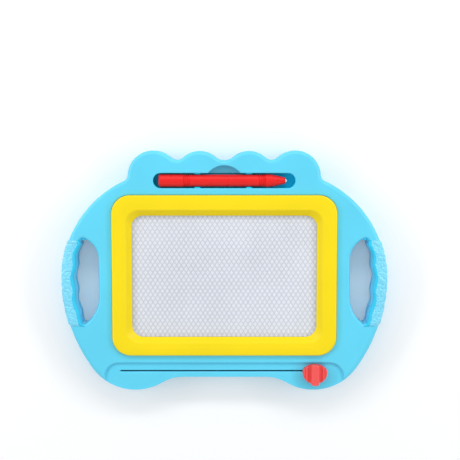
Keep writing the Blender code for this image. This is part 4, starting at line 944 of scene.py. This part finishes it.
def trim_cells(bm):
    """Cuts the sheet of cells to the panel's size, and closes it down to its back."""
    for axis, low, high in ((0, CORE_LOW.x, CORE_HIGH.x), (1, CORE_LOW.y, CORE_HIGH.y)):
        for limit, way in ((low, -1), (high, 1)):
            place = Vector()
            place[axis] = limit
            normal = Vector()
            normal[axis] = way
            geometry = bm.verts[:] + bm.edges[:] + bm.faces[:]
            bmesh.ops.bisect_plane(bm, geom=geometry, plane_co=place, plane_no=normal, clear_outer=True)
    rim = [edge for edge in bm.edges if edge.is_boundary]
    pulled = bmesh.ops.extrude_edge_only(bm, edges=rim)["geom"]
    for item in pulled:
        if isinstance(item, bmesh.types.BMVert):
            item.co.z = CORE_LOW.z
    bmesh.ops.contextual_create(bm, geom=[edge for edge in bm.edges if edge.is_boundary])


def honeycomb():
    """The cells as one closed sheet: wall tops, sloping sides and the fill in each."""
    bm = bmesh.new()
    middle = (CORE_LOW + CORE_HIGH) / 2
    columns = math.ceil((CORE_HIGH.x - CORE_LOW.x) / CELL_PITCH / 2) + 1
    rows = math.ceil((CORE_HIGH.y - CORE_LOW.y) / CELL_ROW_PITCH / 2) + 1
    for row in range(-rows, rows + 1):
        for column in range(-columns, columns + 1):
            x = middle.x + (column + (row % 2) / 2) * CELL_PITCH
            add_cell(bm, x, middle.y + row * CELL_ROW_PITCH, CORE_HIGH.z)
    bmesh.ops.remove_doubles(bm, verts=bm.verts, dist=MERGE_DISTANCE)
    trim_cells(bm)
    return finished("honeycomb_cells", bm)


# Knob

def knob_points(inset):
    """A round knob whose upper half is flattened to clear the recess's edge."""
    points = []
    for i in range(KNOB_SIDES):
        turn = FULL_TURN * i / KNOB_SIDES
        reach = KNOB_UPPER_REACH if math.sin(turn) > 0 else KNOB_LOWER_REACH
        x = KNOB_X + (KNOB_RADIUS - inset) * math.cos(turn)
        points.append((x, SLOT_Y + (reach - inset) * math.sin(turn)))
    return points


def ridge_points(inset):
    """The middle ridge, with a rounded lower end that reaches past the knob's edge."""
    half = RIDGE_HALF_WIDTH - inset
    upper = SLOT_Y + KNOB_UPPER_REACH * math.sqrt(1 - (RIDGE_HALF_WIDTH / KNOB_RADIUS) ** 2) - inset
    centre = Vector((KNOB_X, KNOB_LOW.y + RIDGE_END_ROUND))
    points = [(KNOB_X + half, upper), (KNOB_X - half, upper)]
    for i in range(CORNER_STEPS + 1):
        turn = math.pi + math.pi * i / CORNER_STEPS
        y = centre.y + (RIDGE_END_ROUND - inset) * math.sin(turn)
        points.append((centre.x + half * math.cos(turn), y))
    return points


def groove(name, side, shape, top):
    """A groove along Y whose sides lean outwards."""
    near, far, depth = shape
    left = KNOB_X + min(side * near, side * far)
    right = KNOB_X + max(side * near, side * far)
    lean = depth * GROOVE_LEAN_SHARE
    section = [(left + lean, top - depth), (right - lean, top - depth), (right, top)]
    section += [(right, top + OVERRUN), (left, top + OVERRUN), (left, top)]
    return lofted(name, [[(x, y, z) for x, z in section] for y in (2 * SLOT_Y, 0.0)])


def knob():
    """A low round knob on a narrower neck, with grooves and a high ridge in its middle."""
    rib_top = KNOB_BASE + KNOB_RIB_HEIGHT
    neck_top = KNOB_BASE + KNOB_NECK_HEIGHT
    sections = [(KNOB_NECK_INSET, KNOB_BASE), (KNOB_NECK_INSET, neck_top)]
    sections.append((0.0, neck_top + KNOB_NECK_FLARE))
    sections += round_over(KNOB_EDGE_RADIUS, rib_top)
    body = stacked("knob", knob_points, sections)
    for shape in (WIDE_GROOVE, NARROW_GROOVE):
        for side in (1, -1):
            cut(body, groove("groove", side, shape, rib_top))
    sections = [(0.0, rib_top - RIDGE_ROOT_DEPTH)] + round_over(KNOB_EDGE_RADIUS, KNOB_HIGH.z)
    combine(body, stacked("ridge", ridge_points, sections), "UNION")
    low = (KNOB_X - STEM_HALF_LENGTH, SLOT_Y - STEM_HALF_WIDTH, KNOB_LOW.z)
    high = (KNOB_X + STEM_HALF_LENGTH, SLOT_Y + STEM_HALF_WIDTH, KNOB_BASE + KNOB_EDGE_RADIUS)
    return combine(body, boxed("stem", low, high), "UNION")


# Pen

def turned(name, profile):
    """(place along X, radius) pairs turned about the pen's axis."""
    middle = (CAP_LOW + CAP_HIGH) / 2
    rings = []
    for x, radius in profile:
        ring = []
        for i in range(PEN_SIDES):
            point = radius * direction(FULL_TURN * i / PEN_SIDES)
            ring.append((x, middle.y + point.x, middle.z + point.y))
        rings.append(ring)
    return lofted(name, rings)


def pen_cap():
    rear = CAP_LOW.x
    front = rear + CAP_LENGTH
    pairs = reversed(quarter_round(CAP_ROUND))
    profile = [(rear, LITTLE_ROUND)] + [(rear + drop, CAP_RADIUS - shrink) for shrink, drop in pairs]
    profile += [(front - PEN_JOINT_ROUND, CAP_RADIUS), (front, CAP_RADIUS - PEN_JOINT_ROUND)]
    return turned("pen_cap", profile + [(front, LITTLE_ROUND)])


def ring_grooves(start, way):
    """The rounded grooves at one end of the barrel."""
    points = []
    for number in range(RINGS_AN_END):
        edge = start + way * RING_PITCH * (number + 1 - RING_WIDTH_SHARE)
        for i in range(RING_STEPS + 1):
            share = i / RING_STEPS
            x = edge + way * RING_PITCH * RING_WIDTH_SHARE * share
            points.append((x, BARREL_RADIUS - RING_DEPTH * math.sin(math.pi * share)))
    return points


def pen_barrel():
    rear = CAP_LOW.x + CAP_LENGTH + PEN_JOINT_GAP
    front = NOSE_HIGH.x - NOSE_LENGTH - PEN_JOINT_GAP
    rim = BARREL_RADIUS - PEN_JOINT_ROUND
    profile = [(rear, LITTLE_ROUND), (rear, rim), (rear + PEN_JOINT_ROUND, BARREL_RADIUS)]
    profile += ring_grooves(rear, 1) + list(reversed(ring_grooves(front, -1)))
    profile += [(front - PEN_JOINT_ROUND, BARREL_RADIUS), (front, rim), (front, LITTLE_ROUND)]
    return turned("pen_body", profile)


def pen_nose():
    tip = NOSE_HIGH.x
    rear = tip - NOSE_LENGTH
    profile = [(rear, LITTLE_ROUND), (rear, NOSE_RADIUS - PEN_JOINT_ROUND)]
    profile.append((rear + PEN_JOINT_ROUND, NOSE_RADIUS))
    for i in range(ROUND_STEPS + 1):
        share = 1 - i / ROUND_STEPS
        swell = NOSE_SWELL_SHARE * math.sin(RIGHT_ANGLE * share) + (1 - NOSE_SWELL_SHARE) * share
        x = tip - (NOSE_LENGTH - NOSE_STRAIGHT) * share
        profile.append((x, NOSE_TIP_RADIUS + (NOSE_RADIUS - NOSE_TIP_RADIUS) * swell))
    profile.append((tip, LITTLE_ROUND))
    return turned("pen_point", profile)


def pen_tip():
    radius = (TIP_HIGH.z - TIP_LOW.z) / 2
    front = TIP_HIGH.x
    profile = [(TIP_LOW.x, LITTLE_ROUND), (TIP_LOW.x, radius)]
    pairs = quarter_round(2 * LITTLE_ROUND)
    profile += [(front - drop, radius - shrink) for shrink, drop in pairs]
    profile.append((front, LITTLE_ROUND / 2))
    return turned("pen_tip", profile)


# Screws

def screw_cross(place, angle):
    """One bar of the cross in a screw's head."""
    half = Vector((CROSS_HALF_LENGTH, CROSS_HALF_WIDTH, CROSS_DEPTH))
    bar = boxed("cross", -half, half)
    bar.data.transform(Matrix.Translation(place) @ Matrix.Rotation(angle, 4, "Z"))
    return bar


def screw(number):
    """A pan-head screw, seen from the back of the board, with a cross in its head."""
    low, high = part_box(f"housing_screw_{number}")
    middle = (low + high) / 2
    radius = (high.x - low.x) / 2
    seat = low.z + SCREW_HEAD_HEIGHT
    profile = [(low.z + SCREW_HEAD_HEIGHT * up, radius * out) for up, out in SCREW_CROWN_SHARES]
    profile += [(seat, radius), (seat, SCREW_SHANK_RADIUS)]
    profile += [(high.z - SCREW_POINT, SCREW_SHANK_RADIUS), (high.z, LITTLE_ROUND)]
    rings = [circle(middle.x, middle.y, size, height) for height, size in profile]
    piece = lofted(f"screw_{number}", rings)
    place = (middle.x, middle.y, low.z)
    cut(piece, screw_cross(place, SCREW_TURN * number))
    return cut(piece, screw_cross(place, SCREW_TURN * number + RIGHT_ANGLE))


# Materials

def settle(node, values):
    """Sets a node's inputs by their names."""
    for name, value in values.items():
        node.inputs[name].default_value = value


def noise(tree, scale, detail):
    """A noise in the piece's own coordinates."""
    texture = tree.nodes.new("ShaderNodeTexNoise")
    settle(texture, {"Scale": scale, "Detail": detail})
    place = tree.nodes.get("place")
    if place is None:
        place = tree.nodes.new("ShaderNodeTexCoord")
        place.name = "place"
    tree.links.new(place.outputs["Object"], texture.inputs["Vector"])
    return texture.outputs["Fac"]


def spread(tree, value, low, high):
    """Maps the middle of a noise to the range from low to high."""
    made = tree.nodes.new("ShaderNodeMapRange")
    settle(made, {"From Min": NOISE_LOW, "From Max": NOISE_HIGH, "To Min": low, "To Max": high})
    tree.links.new(value, made.inputs["Value"])
    return made.outputs["Result"]


def blended(tree, factor, dark, light):
    """A colour between two, by a factor."""
    mix = tree.nodes.new("ShaderNodeMix")
    mix.data_type = "RGBA"
    colors = [socket for socket in mix.inputs if socket.type == "RGBA"]
    for socket, color in zip(colors, (dark, light)):
        socket.default_value = (*color, 1.0)
    tree.links.new(factor, mix.inputs[0])
    return [socket for socket in mix.outputs if socket.type == "RGBA"][0]


def finish_of(key):
    """Moulded plastic or metal: a slow drift in colour and gloss, and a fine grain."""
    name, color, roughness, grain, bump, shift = FINISHES[key]
    material = bpy.data.materials.new(name)
    material.use_nodes = True
    tree = material.node_tree
    shader = tree.nodes["Principled BSDF"]
    metallic = 1.0 if key in METALS else 0.0
    alpha = FILM_ALPHA if key == "film" else 1.0
    shine = SHINES.get(key, PLAIN_SHINE)
    settle(shader, {"Metallic": metallic, "Alpha": alpha, "Specular IOR Level": shine})
    dark = [c * (1 - shift) for c in color]
    light = [min(1.0, c * (1 + shift)) for c in color]
    drift = blended(tree, spread(tree, noise(tree, *DRIFT_NOISE), 0.0, 1.0), dark, light)
    tree.links.new(drift, shader.inputs["Base Color"])
    low = roughness * (1 - GLOSS_SHIFT)
    high = min(1.0, roughness * (1 + GLOSS_SHIFT))
    gloss = spread(tree, noise(tree, *GLOSS_NOISE), low, high)
    tree.links.new(gloss, shader.inputs["Roughness"])
    raised = tree.nodes.new("ShaderNodeBump")
    settle(raised, {"Strength": bump, "Distance": GRAIN_HEIGHT})
    tree.links.new(noise(tree, grain, GRAIN_DETAIL), raised.inputs["Height"])
    tree.links.new(raised.outputs["Normal"], shader.inputs["Normal"])
    return material


def dress(piece, material):
    piece.data.materials.clear()
    piece.data.materials.append(material)
    return piece


def add_part(piece, body, material):
    dress(piece, material)
    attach(piece, body)
    return piece


def stand_in(piece, body, slot, material, *nodes):
    add_part(piece, body, material)
    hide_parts(*nodes)
    return piece


def dress_faces(piece, material, chosen):
    """Gives a second material to the faces whose middle is chosen."""
    piece.data.materials.append(material)
    for face in piece.data.polygons:
        face.material_index = 1 if chosen(face.center) else 0


def in_fill(point):
    return abs(point.z - CORE_HIGH.z + CELL_DROP) < MERGE_DISTANCE


# Faces inside the pen's tray, which take the deeper blue of painted shade
def in_tray(point):
    low = BOARD_THICKNESS - TRAY_DEPTH - LITTLE_ROUND
    high = BOARD_THICKNESS - TRAY_RIM / 2
    across = abs(point.y - TRAY_Y) < TRAY_RADIUS + TRAY_RIM / 2
    return across and abs(point.x) < TRAY_HALF_LENGTH and low < point.z < high


def beside_opening(side):
    """A choice of the points of a grip that lie close to its handle opening, where the painted shade
    goes.
    """
    tree = opening_tree(side)
    return lambda point: tree.find((point.x, point.y, 0.0))[2] < RIM_SHADE_WIDTH


def dress_node(name, material):
    for slot in NODES[name].material_slots:
        slot.material = material


# Stage

def when_seen(tree, hidden, seen_level):
    """One level for the camera, for gloss and for transmission, and another for the rest."""
    path = tree.nodes.new("ShaderNodeLightPath")
    seen = path.outputs["Is Camera Ray"]
    for name in ("Is Glossy Ray", "Is Transmission Ray"):
        either = tree.nodes.new("ShaderNodeMath")
        either.operation = "MAXIMUM"
        tree.links.new(seen, either.inputs[0])
        tree.links.new(path.outputs[name], either.inputs[1])
        seen = either.outputs["Value"]
    strength = tree.nodes.new("ShaderNodeMapRange")
    settle(strength, {"To Min": hidden, "To Max": seen_level})
    tree.links.new(seen, strength.inputs["Value"])
    return strength.outputs["Result"]


def floor():
    bm = bmesh.new()
    bmesh.ops.create_grid(bm, x_segments=1, y_segments=1, size=FLOOR_HALF_SIZE)
    plane = finished("floor", bm)
    plane.location.z = -FLOOR_DROP
    material = bpy.data.materials.new("floor_pale")
    material.use_nodes = True
    tree = material.node_tree
    shader = tree.nodes["Principled BSDF"]
    settle(shader, {"Base Color": FLOOR_COLOR, "Emission Color": WHITE})
    settle(shader, {"Roughness": FLOOR_ROUGHNESS, "Specular IOR Level": FLOOR_SHINE})
    tree.links.new(when_seen(tree, 0.0, FLOOR_GLOW), shader.inputs["Emission Strength"])
    dress(plane, material)


def aimed(name, data, place, aim, up):
    """A lamp or camera at a place, pointed at its aim."""
    thing = link(name, data)
    back = (Vector(place) - Vector(aim)).normalized()
    right = Vector(up).cross(back).normalized()
    turn = Matrix((right, back.cross(right), back)).transposed().to_4x4()
    thing.matrix_world = Matrix.Translation(place) @ turn
    return thing


def lamp(name, place, width, height, watts):
    """A strip lamp that points at the board, with its width level."""
    data = bpy.data.lights.new(name, "AREA")
    data.shape = "RECTANGLE"
    data.size = width
    data.size_y = height
    data.energy = watts
    aimed(name, data, place, (0.0, 0.0, 0.0), (0.0, 0.0, 1.0))


def sky():
    """A white sky, at full strength for the camera and for gloss, and soft for the rest."""
    world = bpy.data.worlds.new("studio")
    world.use_nodes = True
    tree = world.node_tree
    background = tree.nodes["Background"]
    background.inputs["Color"].default_value = WHITE
    tree.links.new(when_seen(tree, SKY_LEVEL, 1.0), background.inputs["Strength"])
    bpy.context.scene.world = world


def camera():
    data = bpy.data.cameras.new("camera")
    data.lens = CAMERA_LENS
    data.sensor_width = CAMERA_SENSOR
    data.clip_start = CAMERA_NEAR
    thing = aimed("camera", data, CAMERA_PLACE, CAMERA_AIM, (0.0, 1.0, 0.0))
    bpy.context.scene.camera = thing


# The whole board

def board(made):
    front = stand_in(soften(front_shell()), "board", "blue_plastic", made["blue"], "front_housing")
    # The tray's inside takes painted shade: a deeper blue than the face
    dress_faces(front, made["tray"], in_tray)
    place = pebble_places()
    for side_name, side in (("right", 1), ("left", -1)):
        # The grips take the paler blue, a painted sheen over the pebbles
        bar = add_part(grip(side_name, side, place), "board", made["grip"])
        # The grip's wall and rim beside the opening take the deeper blue, painted shade
        dress_faces(bar, made["grip_rim_shade"], beside_opening(side))
    stand_in(soften(rear_shell()), "board", "rear_blue_plastic", made["rear_blue"], "rear_housing")
    stand_in(soften(bezel()), "board", "yellow_plastic", made["yellow"], "bezel_frame")
    cells = stand_in(honeycomb(), "board", "honeycomb_plastic", made["wall"], "honeycomb_core")
    dress_faces(cells, made["fill"], in_fill)
    for number in range(1, SCREWS + 1):
        piece = soften(screw(number))
        stand_in(piece, "board", "zinc_steel", made["zinc"], f"housing_screw_{number}")
    dress_node("screen_front_film", made["film"])
    dress_node("screen_back_film", made["back_film"])
    dress_node("screen_edge_seal", made["seal"])


def eraser(made):
    stand_in(soften(knob()), "eraser", "knob_red_plastic", made["knob_red"], "slider_knob")
    dress_node("eraser_carrier", made["carrier"])
    dress_node("eraser_magnet_strip", made["ferrite"])


def pen(made):
    stand_in(soften(pen_cap()), "pen", "pen_red_plastic", made["pen_red"], "pen_end_cap")
    stand_in(soften(pen_barrel()), "pen", "pen_red_plastic", made["pen_red"], "pen_barrel")
    stand_in(soften(pen_nose()), "pen", "pen_red_plastic", made["pen_red"], "pen_nose")
    stand_in(soften(pen_tip()), "pen", "bright_steel", made["steel"], "pen_magnet")


def build():
    made = {key: finish_of(key) for key in FINISHES}
    board(made)
    eraser(made)
    pen(made)
    floor()
    for name, (place, width, height, watts) in LAMPS.items():
        lamp(name, place, width, height, watts)
    sky()
    camera()
    bpy.context.scene.view_settings.view_transform = "Standard"


build()
